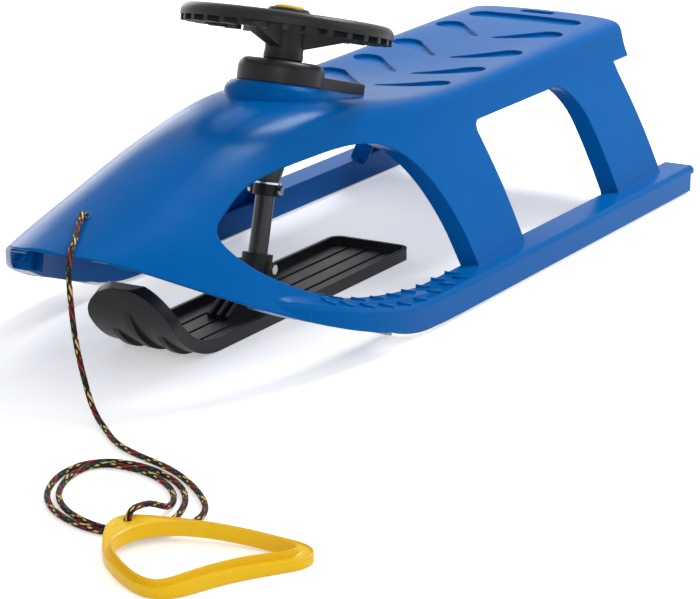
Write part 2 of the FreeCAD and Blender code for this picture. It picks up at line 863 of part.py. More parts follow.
def console_prism(margin, low, high):
    """The plan of the console cover raised between two heights on the steering axis."""
    return console_outline(margin).translated(V(0, 0, low)).extrude(V(0, 0, high - low))


def plinth():
    """The raised seat of the console, with the ribbed tower that carries the bushes."""
    top = mm("console_seat")
    bottom = top - mm("plinth_depth")
    margin = mm("plinth_margin")
    wall = mm("wall")
    block = console_prism(margin, bottom, top)
    upper = [e for e in block.Edges if e.BoundBox.ZMin > top - mm("flange_lap")]
    block = block.makeFillet(mm("plinth_edge"), upper)
    inside = console_prism(margin - wall, bottom - wall, top - wall)
    reach = mm("console_tail")
    half = mm("rib_thickness") / 2
    web = box_between(V(-reach, -half, bottom), V(reach, half, top))
    cross = box_between(V(-half, -reach, bottom), V(half, reach, top))
    tower = axial(mm("tower_radius"), mm("tower_bottom"), top - wall / 2)
    return block.cut(inside).fuse([web.common(inside), cross.common(inside), tower])


def bearing_bores():
    """The holes for the bushes and the column, on the steering axis."""
    top = mm("console_seat")
    low = mm("tower_bottom")
    over = mm("overrun")
    seat = mm("bush_outer") + mm("press_gap")
    return [
        axial(mm("column_radius") + mm("column_clearance"), low - over, top + over),
        axial(seat, top - mm("bush_length"), top + over),
        axial(seat, low - over, low + mm("bush_length")),
    ]


def body_shell():
    """The moulded body: seat, spine, hood, legs and runners in one piece."""
    wall = mm("wall")
    over = mm("overrun")
    lap = mm("flange_lap")
    wide = mm("track_width")
    outer = skin(0)
    shell = solid_between(outer, skin(wall))
    u0, u1, v0, v1 = outer.bounds()
    side = skin(0)
    side.segment(u0, u1, v0, v0 + (v1 - v0) * SIDE_SPAN_SHARE)
    slab = side.toShape().translated(V(0, -lap, 0)).extrude(V(0, -mm("leg_flange_depth"), 0))
    slab = outward(slab)
    flanges = []
    for opening in (rear_window(wall), foot_opening(wall)):
        flanges += both(slab.common(opening))
    low = mm("foot_opening_bottom")
    post = box_between(
        at(mm("leg_start"), 0, low),
        at(mm("leg_start") + wall, wide, mm("skirt_bottom")),
    )
    flanges += both(slab.common(post))
    for place in (mm("rib_first"), mm("rib_second")):
        plate = box_between(at(place, 0, 0), at(place + mm("rib_thickness"), wide, mm("seat_height")))
        flanges += both(slab.common(plate))
    shell = shell.fuse(flanges)
    behind = box_between(at(-over, -wide, 0), at(mm("leg_start"), wide, mm("skirt_bottom")))
    shell = shell.cut([rear_window(0), foot_opening(0), behind])
    middle = skin(wall / 2)
    end = middle.uIso(middle.bounds()[0])
    ends = [end.value(end.FirstParameter), end.value(end.LastParameter)]
    cap = Part.Face(Part.Wire([end.toShape(), Part.LineSegment(ends[1], ends[0]).toShape()]))
    cap = outward(cap.extrude(V(wall, 0, 0))).cut(behind)
    shell = shell.fuse([cap] + both(runner_bar(RUNNER_SHARES, 0, 0)))
    heel = box_between(
        at(-over, 0, -over),
        at(mm("runner_heel"), wide, mm("runner_height") - mm("runner_flange")),
    )
    shell = shell.cut(both(runner_hollow()) + both(heel) + [below_rim()])
    depth = mm("recess_depth")
    shell = shell.fuse(seat_recesses(wall - lap, wall + depth, wall))
    hole, away = rope_hole()
    rim_radius = mm("rope_hole_radius") + mm("rope_hole_rim")
    extra = [
        in_steering(plinth()),
        along_from(hole, away, rim_radius, -wall / 2, mm("rope_hole_rim_height")),
    ]
    bosses = []
    drills = []
    for place in screw_places():
        base = place + V(0, 0, mm("shoe_thickness"))
        boss_height = mm("runner_height") - mm("shoe_thickness") - lap
        bosses += both(along_from(base, Z_AXIS, mm("shoe_boss_radius"), 0, boss_height))
        drill_radius = mm("shoe_screw_radius") + mm("press_gap")
        drills += both(along_from(place, Z_AXIS, drill_radius, 0, mm("shoe_screw_length")))
    shell = shell.fuse(extra + bosses)
    seat = mm("console_seat")
    footprint = console_prism(mm("seat_gap"), seat, seat + mm("plinth_depth"))
    cutters = [in_steering(footprint)]
    cutters += [in_steering(bore) for bore in bearing_bores()]
    cutters.append(along_from(hole, away, mm("rope_hole_radius"), -wall - over, over))
    for place in console_screw_places():
        radius = mm("console_screw_radius") + mm("press_gap")
        cutters.append(in_steering(along_from(place, Z_AXIS, radius, -wall - over, over)))
        relief = mm("console_screw_head") + mm("seat_gap")
        cutters.append(in_steering(along_from(place, Z_AXIS, relief, -wall - over, -wall)))
    slot_half = mm("hand_slot_length") / 2 - mm("hand_slot_width") / 2
    slot_x = mm("seat_rear") + mm("hand_slot_inset")
    slot = slot_prism(
        at(slot_x, -slot_half, mm("skirt_bottom")),
        at(slot_x, slot_half, mm("skirt_bottom")),
        mm("hand_slot_width") / 2,
        mm("seat_height"),
    )
    cutters.append(slot)
    shell = shell.cut(cutters + drills + seat_recesses(-over, depth, 0))
    return shell


def shoe():
    """One steel shoe: a flat bar whose front end follows the runner's rise."""
    lift = mm("shoe_thickness")
    rear = at(mm("shoe_tail"), 0, 0)
    edges = [
        Part.LineSegment(rear, arc_point(0, 0)).toShape(),
        Part.Arc(arc_point(0, 0), arc_point(0.5, 0), arc_point(1, 0)).toShape(),
        Part.LineSegment(arc_point(1, 0), arc_point(1, lift)).toShape(),
        Part.Arc(arc_point(1, lift), arc_point(0.5, lift), arc_point(0, lift)).toShape(),
        Part.LineSegment(arc_point(0, lift), rear + V(0, 0, lift)).toShape(),
        Part.LineSegment(rear + V(0, 0, lift), rear).toShape(),
    ]
    middle = mm("track_width") / 2 - mm("runner_width") / 2
    face = Part.Face(Part.Wire(edges)).translated(V(0, middle - mm("shoe_width") / 2, 0))
    bar = face.extrude(V(0, mm("shoe_width"), 0))
    gap = mm("press_gap")
    holes = []
    for place in screw_places():
        holes.append(along_from(place, Z_AXIS, mm("shoe_screw_radius") + gap, 0, lift))
        head = mm("shoe_screw_head") + gap
        holes.append(along_from(place, Z_AXIS, head, 0, mm("shoe_screw_head_height")))
    return bar.cut(holes)


def shoe_screws():
    """The screws of both shoes, with flat heads let into the steel."""
    screws = []
    for place in screw_places():
        head = along_from(place, Z_AXIS, mm("shoe_screw_head"), 0, mm("shoe_screw_head_height"))
        shank = along_from(place, Z_AXIS, mm("shoe_screw_radius"), 0, mm("shoe_screw_length"))
        screws += both(head.fuse(shank).removeSplitter())
    return Part.makeCompound(screws)


def steering_console():
    """The black cover over the bearing: a hollow plate with bosses for its screws."""
    seat = mm("console_seat")
    top = seat + mm("console_height")
    block = console_prism(0, seat, top)
    upper = [e for e in block.Edges if e.BoundBox.ZMin > top - mm("flange_lap")]
    block = block.makeFillet(mm("console_edge"), upper)
    inside = console_prism(-mm("console_wall"), seat, top - mm("console_wall"))
    bosses = []
    drills = []
    over = mm("overrun")
    for place in console_screw_places():
        boss_radius = mm("console_boss_radius")
        bosses.append(along_from(place, Z_AXIS, boss_radius, -over, mm("console_height")))
        depth = mm("console_screw_length") - mm("wall")
        drill_radius = mm("console_screw_radius") + mm("press_gap")
        drills.append(along_from(place, Z_AXIS, drill_radius, -over, depth))
    bore = axial(mm("console_ring_bore"), seat, top + over)
    cover = block.cut([inside.cut(bosses), bore] + drills)
    return in_steering(cover)


def console_screws():
    """The console's screws, driven up through the plinth from inside the body."""
    screws = []
    wall = mm("wall")
    for place in console_screw_places():
        under = -wall - mm("console_screw_head_height")
        head = along_from(place, Z_AXIS, mm("console_screw_head"), under, -wall)
        end = mm("console_screw_length") - wall
        shank = along_from(place, Z_AXIS, mm("console_screw_radius"), -wall, end)
        screws.append(in_steering(head.fuse(shank).removeSplitter()))
    return Part.makeCompound(screws)


def steering_wheel():
    """The wheel: a channelled rim with ribs, three sloping spokes and a stepped hub."""
    outer = mm("wheel_radius")
    inner = outer - mm("rim_width")
    top = mm("rim_top")
    low = top - mm("rim_height")
    edge = mm("rim_edge")
    skin_depth = mm("rim_skin")
    inset = edge - skin_depth
    near = V(inner + edge, 0, top - edge)
    far = V(outer - edge, 0, top - edge)
    feet = [V(r, 0, low) for r in (outer, outer - skin_depth, inner + skin_depth, inner)]
    out = V(1, 0, 0)

    def line(first, second):
        return Part.LineSegment(first, second).toShape()

    def quarter(centre, first, second, radius):
        middle = centre + (first + second).normalize() * radius
        return Part.Arc(centre + first * radius, middle, centre + second * radius).toShape()

    profile = Part.Wire([
        line(near + Z_AXIS * edge, far + Z_AXIS * edge),
        quarter(far, Z_AXIS, out, edge),
        line(far + out * edge, feet[0]),
        line(feet[0], feet[1]),
        line(feet[1], far + out * inset),
        quarter(far, out, Z_AXIS, inset),
        line(far + Z_AXIS * inset, near + Z_AXIS * inset),
        quarter(near, Z_AXIS, -out, inset),
        line(near - out * inset, feet[2]),
        line(feet[2], feet[3]),
        line(feet[3], near - out * edge),
        quarter(near, -out, Z_AXIS, edge),
    ])
    rim = Part.Face(profile).revolve(V(0, 0, 0), Z_AXIS, 360)
    lap = mm("flange_lap")
    half = mm("rim_rib_width") / 2
    rib = box_between(
        V(inner + lap, -half, low - mm("rim_rib_drop")),
        V(outer - lap, half, top - edge - lap),
    )
    count = round(mm("rim_rib_count"))
    ribs = [rib.rotated(V(0, 0, 0), Z_AXIS, 360 * (k + 0.5) / count) for k in range(count)]
    hub_radius = mm("hub_radius")
    hub = axial(hub_radius, mm("hub_bottom"), mm("hub_top"))
    root = mm("hub_bottom") + mm("spoke_rise")
    slope = [
        V(mm("column_radius") + lap, 0, root),
        V(inner + lap, 0, low),
        V(inner + lap, 0, low + mm("spoke_depth")),
        V(mm("column_radius") + lap, 0, mm("hub_top") - lap),
    ]
    width = mm("spoke_width")
    spoke = polygon_face(slope).translated(V(0, -width / 2, 0)).extrude(V(0, width, 0))
    spokes = []
    for k in range(round(mm("spoke_count"))):
        spokes.append(spoke.rotated(V(0, 0, 0), Z_AXIS, 360 * k / mm("spoke_count")))
    web_top = mm("column_top") + mm("hub_web")
    gap = mm("press_gap")
    bores = [
        axial(mm("column_radius") + gap, mm("hub_bottom"), mm("column_top")),
        axial(mm("bolt_radius") + gap, mm("column_top"), web_top),
        axial(mm("hub_recess_radius"), web_top, mm("hub_top")),
    ]
    wheel = rim.fuse(ribs + [hub] + spokes).cut(bores)
    return in_steering(wheel.removeSplitter())


def on_tip(lift, share):
    """A point of the ski's turned-up tip in side view, lifted from its underside."""
    turn = math.radians(mm("ski_tip_angle")) * share
    radius = mm("ski_tip_radius")
    reach = radius - lift
    bend = mm("ski_rear") + mm("ski_flat")
    return at(bend + reach * math.sin(turn), 0, radius - reach * math.cos(turn))


def ski_band(low, high):
    """A side view of the ski between two depths."""
    rear = mm("ski_rear")
    edges = [
        Part.LineSegment(at(rear, 0, low), on_tip(low, 0)).toShape(),
        Part.Arc(on_tip(low, 0), on_tip(low, 0.5), on_tip(low, 1)).toShape(),
        Part.LineSegment(on_tip(low, 1), on_tip(high, 1)).toShape(),
        Part.Arc(on_tip(high, 1), on_tip(high, 0.5), on_tip(high, 0)).toShape(),
        Part.LineSegment(on_tip(high, 0), at(rear, 0, high)).toShape(),
        Part.LineSegment(at(rear, 0, high), at(rear, 0, low)).toShape(),
    ]
    return Part.Face(Part.Wire(edges))


def ski_keel(start, end):
    """A side view of one keel under the tip, thickest in its middle."""
    middle = (start + end) / 2
    lap = mm("flange_lap")
    ends = [on_tip(lap, start), on_tip(lap, end)]
    wire = Part.Wire([
        Part.Arc(ends[0], on_tip(-mm("ski_keel_height"), middle), ends[1]).toShape(),
        Part.Arc(ends[1], on_tip(mm("ski_floor") / 2, middle), ends[0]).toShape(),
    ])
    return Part.Face(wire)


def ski_plan(inset):
    """The outline of the ski, inset on all sides: rounded from above behind, and square to its tip."""
    half = mm("ski_width") / 2 - inset
    rear = mm("ski_rear") + inset
    reach = mm("body_length")
    small = mm("ski_corner") - inset
    large = mm("ski_tip_corner") - inset
    wire = rounded_outline((
        (at(rear, -half, -reach), small),
        (at(rear + reach, -half, -reach), small),
        (at(rear + reach, half, -reach), small),
        (at(rear, half, -reach), small),
    ))
    plan = Part.Face(wire).extrude(V(0, 0, 2 * reach))
    wire = rounded_outline((
        (V(-reach, -half, -reach), small),
        (V(-inset, -half, -reach), large),
        (V(-inset, half, -reach), large),
        (V(-reach, half, -reach), small),
    ))
    tip = Part.Face(wire).extrude(V(0, 0, 2 * reach))
    tip.Placement = FreeCAD.Placement(on_tip(0, 1), FreeCAD.Rotation(Y_AXIS, -mm("ski_tip_slant")))
    return plan.common(tip)


def front_ski():
    """The steered ski: a rimmed tray with a turned-up tip and a ribbed socket."""
    wide = mm("ski_width")
    floor = mm("ski_floor")

    def spread(face, width, middle):
        return face.translated(V(0, middle - width / 2, 0)).extrude(V(0, width, 0))

    tray = spread(ski_band(0, mm("ski_rim")), wide, 0).common(ski_plan(0))
    pocket = spread(ski_band(floor, mm("ski_rim") + mm("overrun")), wide, 0)
    tray = tray.cut(pocket.common(ski_plan(mm("ski_rim_wall"))))
    grooves = []
    groove_low = floor - mm("ski_groove_depth")
    for place in (-mm("ski_groove_pitch"), 0, mm("ski_groove_pitch")):
        band = spread(ski_band(groove_low, mm("ski_rim")), mm("ski_groove_width"), place)
        grooves.append(band.common(ski_plan(mm("ski_rim_wall") * 2)))
    keels = []
    for across, start, end in KEEL_SHARES:
        place = across * mm("ski_keel_pitch")
        keels.append(spread(ski_keel(start, end), mm("ski_keel_width"), place))
    below = box_between(at(0, -wide, -wide), at(mm("body_length"), wide, 0))
    socket = axial(mm("socket_radius"), -mm("socket_bury"), mm("socket_height"))
    lug_half = mm("socket_lug_width") / 2
    lug = box_between(
        V(-lug_half, -mm("socket_lug"), mm("ski_bolt_height") - lug_half),
        V(lug_half, mm("socket_lug"), mm("ski_bolt_height") + lug_half),
    )
    foot = mm("axis_foot")
    gussets = []
    for place in (-mm("gusset_pitch"), 0, mm("gusset_pitch")):
        side = polygon_face([
            at(foot, 0, floor / 2),
            at(foot + mm("gusset_length"), 0, floor / 2),
            at(foot + mm("gusset_length"), 0, floor + mm("overrun")),
            at(foot, 0, mm("gusset_height")),
        ])
        gussets.append(spread(side, mm("gusset_thickness"), place))
    post = in_steering(socket.fuse(lug))
    solid = tray.cut(grooves).fuse(keels + gussets + [post])
    gap = mm("press_gap")
    bore = in_steering(axial(mm("column_radius") + gap, mm("column_bottom"), mm("socket_height")))
    beside = V(0, -wide, mm("ski_bolt_height"))
    hole = in_steering(along_from(beside, Y_AXIS, mm("ski_bolt_radius") + gap, 0, wide * 2))
    return solid.cut([below, bore, hole]).removeSplitter()


def handle_place():
    """Where the pull handle lies: on one long side, tilted up over the rope under it."""
    first, second = handle_points(HANDLE_SHARES)[2:4]
    along = (second - first).normalize()
    edge = first + V(along.y, -along.x, 0) * mm("handle_corner_radius")
    base = FreeCAD.Placement(at(mm("handle_x"), mm("handle_y"), 0), FreeCAD.Rotation())
    tilt = FreeCAD.Placement(edge, FreeCAD.Rotation(along, mm("handle_tilt")))
    return base.multiply(tilt).multiply(FreeCAD.Placement(-edge, FreeCAD.Rotation()))


def handle_points(shares):
    """Places on the handle's own ground plane."""
    return [V(x, y, 0) * mm("handle_reach") for x, y in shares]


def eyelet():
    """Middle of the rope's hole in the handle, on the handle's own ground plane."""
    return handle_points([EYELET_SHARE])[0]


def handle_prism(shares, radius, low, high):
    """The outline around circles of one radius, raised between two heights."""
    centres = handle_points(shares)
    count = len(centres)
    sides = []
    for i in range(count):
        along = (centres[(i + 1) % count] - centres[i]).normalize()
        sides.append(V(along.y, -along.x, 0) * radius)
    edges = []
    for i in range(count):
        before = sides[i - 1]
        after = sides[i]
        middle = (before + after).normalize() * radius
        start = centres[i] + after
        edges.append(Part.Arc(centres[i] + before, centres[i] + middle, start).toShape())
        edges.append(Part.LineSegment(start, centres[(i + 1) % count] + after).toShape())
    face = Part.Face(Part.Wire(edges)).translated(V(0, 0, low))
    return face.extrude(V(0, 0, high - low))


def pull_handle():
    """The grip: a flat rounded triangle, hollow below, with a lip outside and a collar inside."""
    outer = mm("handle_corner_radius")
    inner = mm("handle_opening_radius")
    wall = mm("handle_wall")
    top = mm("handle_skirt")
    plate = top - mm("handle_flange")
    over = mm("overrun")
    block = handle_prism(HANDLE_SHARES, outer, 0, top + mm("handle_lip_height"))
    block = block.cut(handle_prism(HANDLE_SHARES, outer - mm("handle_lip"), top, top + over))
    block = block.cut(handle_prism(HANDLE_SHARES, outer - wall, -over, plate))
    block = block.fuse(handle_prism(OPENING_SHARES, inner + wall, 0, mm("handle_collar")))
    block = block.cut(handle_prism(OPENING_SHARES, inner, -over, mm("handle_collar") + over))
    hole = along_from(eyelet(), Z_AXIS, mm("eyelet_radius"), plate - over, top + over)
    solid = block.cut(hole).removeSplitter()
    solid.Placement = handle_place().multiply(solid.Placement)
    return solid


def rope_route():
    """The rope from its knot inside the hood to the start of the coil."""
    hole, away = rope_hole()
    start = hole - away * (mm("wall") + mm("seat_gap"))
    bend = hole + away * mm("rope_rise")
    return [start, bend] + [at(*point) for point in ROPE_POINTS]


def rope_end_route(start):
    """The rope from the end of the coil up over the handle and down its eyelet."""
    up = handle_place().Rotation.multVec(Z_AXIS)
    plate = mm("handle_skirt") - mm("handle_flange") - mm("seat_gap")
    finish = handle_place().multVec(eyelet() + V(0, 0, plate))
    bend = finish + up * (mm("handle_flange") + mm("seat_gap") + mm("rope_drop"))
    return [start] + [at(*point) for point in ROPE_END_POINTS] + [bend, finish]


def coil_edges(start):
    """The flat coil on the ground: quarter turns to the right, the first one heading forwards."""
    heading = V(1, 0, 0)
    edges = []
    for radius in COIL_RADII:
        right = heading.cross(Z_AXIS)
        centre = start + right * radius
        middle = centre + (heading - right).normalize() * radius
        end = centre + heading * radius
        edges.append(Part.Arc(start, middle, end).toShape())
        start = end
        heading = right
    return edges


def smooth_route(name, points):
    """Straight runs joined by tangent arcs."""
    edges = []
    radii = []
    start = points[0]
    for before, corner, after in zip(points, points[1:], points[2:]):
        back = before - corner
        ahead = after - corner
        half = back.getAngle(ahead) / 2
        reach = BEND_SHARE * min(back.Length, ahead.Length)
        radius = reach * math.tan(half)
        radii.append(radius)
        back.normalize()
        ahead.normalize()
        middle = corner + (back + ahead).normalize() * (radius / math.sin(half) - radius)
        edges.append(Part.LineSegment(start, corner + back * reach).toShape())
        edges.append(Part.Arc(corner + back * reach, middle, corner + ahead * reach).toShape())
        start = corner + ahead * reach
    edges.append(Part.LineSegment(start, points[-1]).toShape())
    print(name, "bend radii", [round(radius, 1) for radius in radii])
    return edges


def tube(name, edges):
    """The rope along a path, with its volume compared with section times length."""
    first = edges[0]
    start = first.valueAt(first.FirstParameter)
    heading = first.tangentAt(first.FirstParameter)
    ring = Part.Wire(Part.makeCircle(mm("rope_radius"), start, heading))
    solid = outward(Part.Wire(edges).makePipeShell([ring], True, False))
    expected = math.pi * mm("rope_radius") ** 2 * sum(edge.Length for edge in edges)
    print(name, "volume", round(solid.Volume), "section times length", round(expected))
    return solid


def coil_gap(edges):
    """The least gap between turns of the coil, measured on points along it."""
    points = []
    travel = 0
    for edge in edges:
        count = POINTS_PER_ARC
        for point in edge.discretize(count + 1)[:-1]:
            points.append((travel, point))
            travel += edge.Length / count
    apart = max(edge.Length for edge in edges)
    gaps = []
    for i, (first, a) in enumerate(points):
        gaps += [(a - b).Length for second, b in points[i + 1:] if second - first > apart]
    return min(gaps) - mm("rope_radius") * 2


def barrel(label, placement):
    """A knot as a turned barrel that stands on its own XY plane."""
    return turned(label, (
        ("", ""),
        ("knot_neck", ""),
        ("knot_radius", "knot_shoulder"),
        ("knot_radius", "knot_length - knot_shoulder"),
        ("knot_neck", "knot_length"),
        ("", "knot_length"),
    ), placement)


STEERING = steering_place()


def across_column(terms, reach, back):
    """A place on the steering axis at a height, facing left, or right when back is set."""
    turn = FreeCAD.Rotation(V(1, 0, 0), 90 if back else -90)
    side = -total(reach) if back else total(reach)
    return STEERING.multiply(FreeCAD.Placement(V(0, side, total(terms)), turn))


feature("body_shell", body_shell())
left_shoe = shoe()
feature("left_runner_shoe", left_shoe)
feature("right_runner_shoe", mirrored(left_shoe))
feature("runner_shoe_screws", shoe_screws())
feature("steering_console", steering_console())
feature("console_screws", console_screws())
turned("console_ring", (
    ("console_ring_bore", "console_seat + console_height"),
    ("console_ring_radius", "console_seat + console_height"),
    ("console_ring_radius", "console_seat + console_height + console_ring_height - console_ring_edge"),
    (
        "console_ring_radius - console_ring_soft",
        "console_seat + console_height + console_ring_height - console_ring_soft",
    ),
    ("console_ring_radius - console_ring_edge", "console_seat + console_height + console_ring_height"),
    ("console_ring_bore", "console_seat + console_height + console_ring_height"),
), STEERING)
turned("upper_bush", (
    ("column_radius + running_fit", "console_seat - bush_length"),
    ("bush_outer", "console_seat - bush_length"),
    ("bush_outer", "console_seat"),
    ("bush_flange_radius", "console_seat"),
    ("bush_flange_radius", "console_seat + bush_flange"),
    ("column_radius + running_fit", "console_seat + bush_flange"),
), STEERING)
turned("lower_bush", (
    ("column_radius + running_fit", "collar_bottom + collar_height + washer_thickness + seat_gap"),
    ("bush_nose_radius", "collar_bottom + collar_height + washer_thickness + seat_gap"),
    ("bush_flange_radius", "tower_bottom - bush_flange"),
    ("bush_flange_radius", "tower_bottom"),
    ("bush_outer", "tower_bottom"),
    ("bush_outer", "tower_bottom + bush_length"),
    ("column_radius + running_fit", "tower_bottom + bush_length"),
), STEERING)

# Cross holes and bolts of the column lie along the sled's width.
ski_hole = bound(
    "Part::Cylinder", "Ski_bolt_hole",
    Radius="ski_bolt_radius + press_gap", Height="ski_width + ski_width",
)
ski_hole.Placement = across_column("ski_bolt_height", "- ski_width", False)
collar_hole = bound(
    "Part::Cylinder", "Collar_bolt_hole",
    Radius="collar_bolt_radius + press_gap", Height="ski_width + ski_width",
)
collar_hole.Placement = across_column("collar_bolt_height", "- ski_width", False)
collar_drill = bound(
    "Part::Cylinder", "Collar_drill",
    Radius="collar_bolt_radius + press_gap", Height="ski_width + ski_width",
)
collar_drill.Placement = collar_hole.Placement
pipe = turned_body("pipe", (
    ("column_bore", "column_bottom"),
    ("column_radius", "column_bottom"),
    ("column_radius", "column_top"),
    ("column_bore", "column_top"),
), STEERING)
cut_away("steering_column", pipe, [ski_hole, collar_hole])
collar_sleeve = turned_body("collar_sleeve", (
    ("column_radius + press_gap", "collar_bottom"),
    ("collar_radius", "collar_bottom"),
    ("collar_radius", "collar_bottom + collar_height"),
    ("column_radius + press_gap", "collar_bottom + collar_height"),
), STEERING)
lug = bound(
    "Part::Box", "Collar_lug", Length="collar_lug_width", Width="collar_lug + collar_lug",
    Height="collar_height",
)
lug_corner = V(-mm("collar_lug_width") / 2, -mm("collar_lug"), mm("collar_bottom"))
lug.Placement = STEERING.multiply(FreeCAD.Placement(lug_corner, FreeCAD.Rotation()))
collar_bore = bound(
    "Part::Cylinder", "Collar_bore", Radius="column_radius + press_gap", Height="column_top",
)
collar_bore.Placement = STEERING
cut_away("column_collar", joined("collar", [collar_sleeve, lug]), [collar_bore, collar_drill])
hex_bolt(
    "collar_bolt", "collar_bolt_radius", "collar_lug + collar_lug + collar_nut_height", "collar_head",
    "collar_head_height", across_column("collar_bolt_height", "collar_lug", False),
)
hex_nut(
    "collar_nut", "collar_bolt_radius + press_gap", "collar_head", "collar_nut_height",
    across_column("collar_bolt_height", "collar_lug", True),
)
turned("thrust_washer", (
    ("column_radius + press_gap", "collar_bottom + collar_height"),
    ("washer_radius", "collar_bottom + collar_height"),
    ("washer_radius", "collar_bottom + collar_height + washer_thickness"),
    ("column_radius + press_gap", "collar_bottom + collar_height + washer_thickness"),
), STEERING)
turned("column_plug", (
    ("", "column_top - plug_length"),
    ("column_bore - press_gap", "column_top - plug_length"),
    ("column_bore - press_gap", "column_top"),
    ("bolt_radius + press_gap", "column_top"),
    ("bolt_radius + press_gap", "column_top + hub_web + bolt_washer_thickness - bolt_length - seat_gap"),
    ("", "column_top + hub_web + bolt_washer_thickness - bolt_length - seat_gap"),
), STEERING)
feature("steering_wheel", steering_wheel())
turned("wheel_washer", (
    ("bolt_radius + press_gap", "column_top + hub_web"),
    ("bolt_washer", "column_top + hub_web"),
    ("bolt_washer", "column_top + hub_web + bolt_washer_thickness"),
    ("bolt_radius + press_gap", "column_top + hub_web + bolt_washer_thickness"),
), STEERING)
bolt_seat = V(0, 0, total("column_top + hub_web + bolt_washer_thickness"))
hex_bolt(
    "wheel_bolt", "bolt_radius", "bolt_length", "bolt_head", "bolt_head_height",
    STEERING.multiply(FreeCAD.Placement(bolt_seat, FreeCAD.Rotation())),
)
turned("wheel_hub_disc", (
    ("cap_stem_radius + press_gap", "hub_top"),
    ("disc_radius", "hub_top"),
    ("disc_radius", "hub_top + disc_height"),
    ("cap_stem_radius + press_gap", "hub_top + disc_height"),
), STEERING)
turned("wheel_cap", (
    ("", "hub_top + disc_height - cap_stem"),
    ("cap_stem_radius", "hub_top + disc_height - cap_stem"),
    ("cap_stem_radius", "hub_top + disc_height"),
    ("cap_radius", "hub_top + disc_height"),
    ("cap_radius", "hub_top + disc_height + cap_height - cap_edge"),
    ("cap_radius - cap_edge", "hub_top + disc_height + cap_height"),
    ("", "hub_top + disc_height + cap_height"),
), STEERING)
feature("front_ski", front_ski())
hex_bolt(
    "ski_bolt", "ski_bolt_radius", "socket_lug + socket_lug + ski_nut_height", "ski_bolt_head",
    "ski_bolt_head_height", across_column("ski_bolt_height", "socket_lug", False),
)
hex_nut(
    "ski_nut", "ski_bolt_radius + press_gap", "ski_bolt_head", "ski_nut_height",
    across_column("ski_bolt_height", "socket_lug", True),
)

feature("tow_rope", tube("tow_rope", smooth_route("tow_rope", rope_route())))
coil = coil_edges(rope_route()[-1])
coil_end = coil[-1].valueAt(coil[-1].LastParameter)
feature("tow_rope_coil", tube("tow_rope_coil", coil))
print("tow_rope_coil least gap", round(coil_gap(coil), 2))
feature("tow_rope_end", tube("tow_rope_end", smooth_route("tow_rope_end", rope_end_route(coil_end))))
hood_hole, hood_away = rope_hole()
knot_top = mm("wall") + mm("seat_gap")
barrel("nose_knot", FreeCAD.Placement(
    hood_hole - hood_away * (knot_top + mm("knot_length")),
    FreeCAD.Rotation(Z_AXIS, hood_away),
))
plate_under = mm("handle_skirt") - mm("handle_flange") - mm("seat_gap") - mm("knot_length")
barrel("handle_knot", handle_place().multiply(
    FreeCAD.Placement(eyelet() + V(0, 0, plate_under), FreeCAD.Rotation())
))
feature("pull_handle", pull_handle())

doc.recompute()
for obj in doc.Objects:
    if "Invalid" in obj.State or "Error" in obj.State:
        raise RuntimeError(f"{obj.Name} did not build: {obj.State}")
os.makedirs("parts", exist_ok=True)
for obj in SUB_PARTS:
    if obj.Shape.isNull() or not obj.Shape.isValid():
        raise RuntimeError(f"{obj.Label} has no valid shape")
    print(obj.Label, len(obj.Shape.Solids), round(obj.Shape.Volume))
    obj.Shape.exportStep(f"parts/{obj.Label}.step")
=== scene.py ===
"""Steering sled: finishes, tow rope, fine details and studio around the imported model."""

import logging
import math
from collections.abc import Callable
from dataclasses import dataclass
from enum import Enum
from typing import ClassVar

import bpy
from mathutils import Euler, Matrix, Vector


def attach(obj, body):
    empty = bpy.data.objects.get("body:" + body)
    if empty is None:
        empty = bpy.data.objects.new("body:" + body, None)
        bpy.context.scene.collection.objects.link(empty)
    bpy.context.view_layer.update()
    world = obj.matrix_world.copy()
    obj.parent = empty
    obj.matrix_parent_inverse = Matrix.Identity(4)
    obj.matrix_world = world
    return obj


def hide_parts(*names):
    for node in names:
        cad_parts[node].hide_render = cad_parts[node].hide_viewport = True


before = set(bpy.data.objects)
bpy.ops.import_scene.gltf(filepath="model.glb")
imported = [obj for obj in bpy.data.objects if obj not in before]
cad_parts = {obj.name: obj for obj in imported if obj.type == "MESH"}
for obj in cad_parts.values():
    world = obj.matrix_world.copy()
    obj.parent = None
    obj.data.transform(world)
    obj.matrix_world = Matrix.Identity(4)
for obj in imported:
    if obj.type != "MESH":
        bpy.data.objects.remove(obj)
bpy.context.view_layer.update()

LOG = logging.getLogger("steering_sled")
MILLIMETRE = 0.001
HALF_LENGTH = 0.518
UP = Vector((0.0, 0.0, 1.0))
SPLINE_ORDER = 3

Colour = tuple[float, float, float]
Point = tuple[float, float, float]
Range = tuple[float, float]
Outline = tuple[tuple[float, float], ...]
Socket = bpy.types.NodeSocket


class Body(Enum):
    """The two moving bodies of the sled."""

    SLED = "sled"
    STEERING = "steering"


class Slot(Enum):
    """Names of material slots, listed beside the turned trim but not given to any piece."""

    BLUE = "blue_plastic"
    BLACK = "black_plastic"
    YELLOW = "yellow_plastic"
    ROPE = "rope"


def from_rear(x: float, y: float, z: float) -> Vector:
    """A point measured in millimetres from the rear end of the runners.

    Args:
        x: Distance forwards from the rear end.
        y: Distance to the left of the middle.
        z: Height above the ground.

    Returns:
        The point in metres, in the frame of the model.
    """
    return Vector((x * MILLIMETRE - HALF_LENGTH, y * MILLIMETRE, z * MILLIMETRE))


def lean(direction: Vector) -> Matrix:
    """The shortest turn that takes the upward direction to another one."""
    return UP.rotation_difference(direction).to_matrix().to_4x4()


def look(place: Point, aim: Point) -> Euler:
    """How a light or a camera turns to look from one place at another."""
    return (Vector(aim) - Vector(place)).to_track_quat("-Z", "Y").to_euler()


def deselect() -> None:
    """Clear the selection before an operator runs."""
    bpy.ops.object.select_all(action="DESELECT")


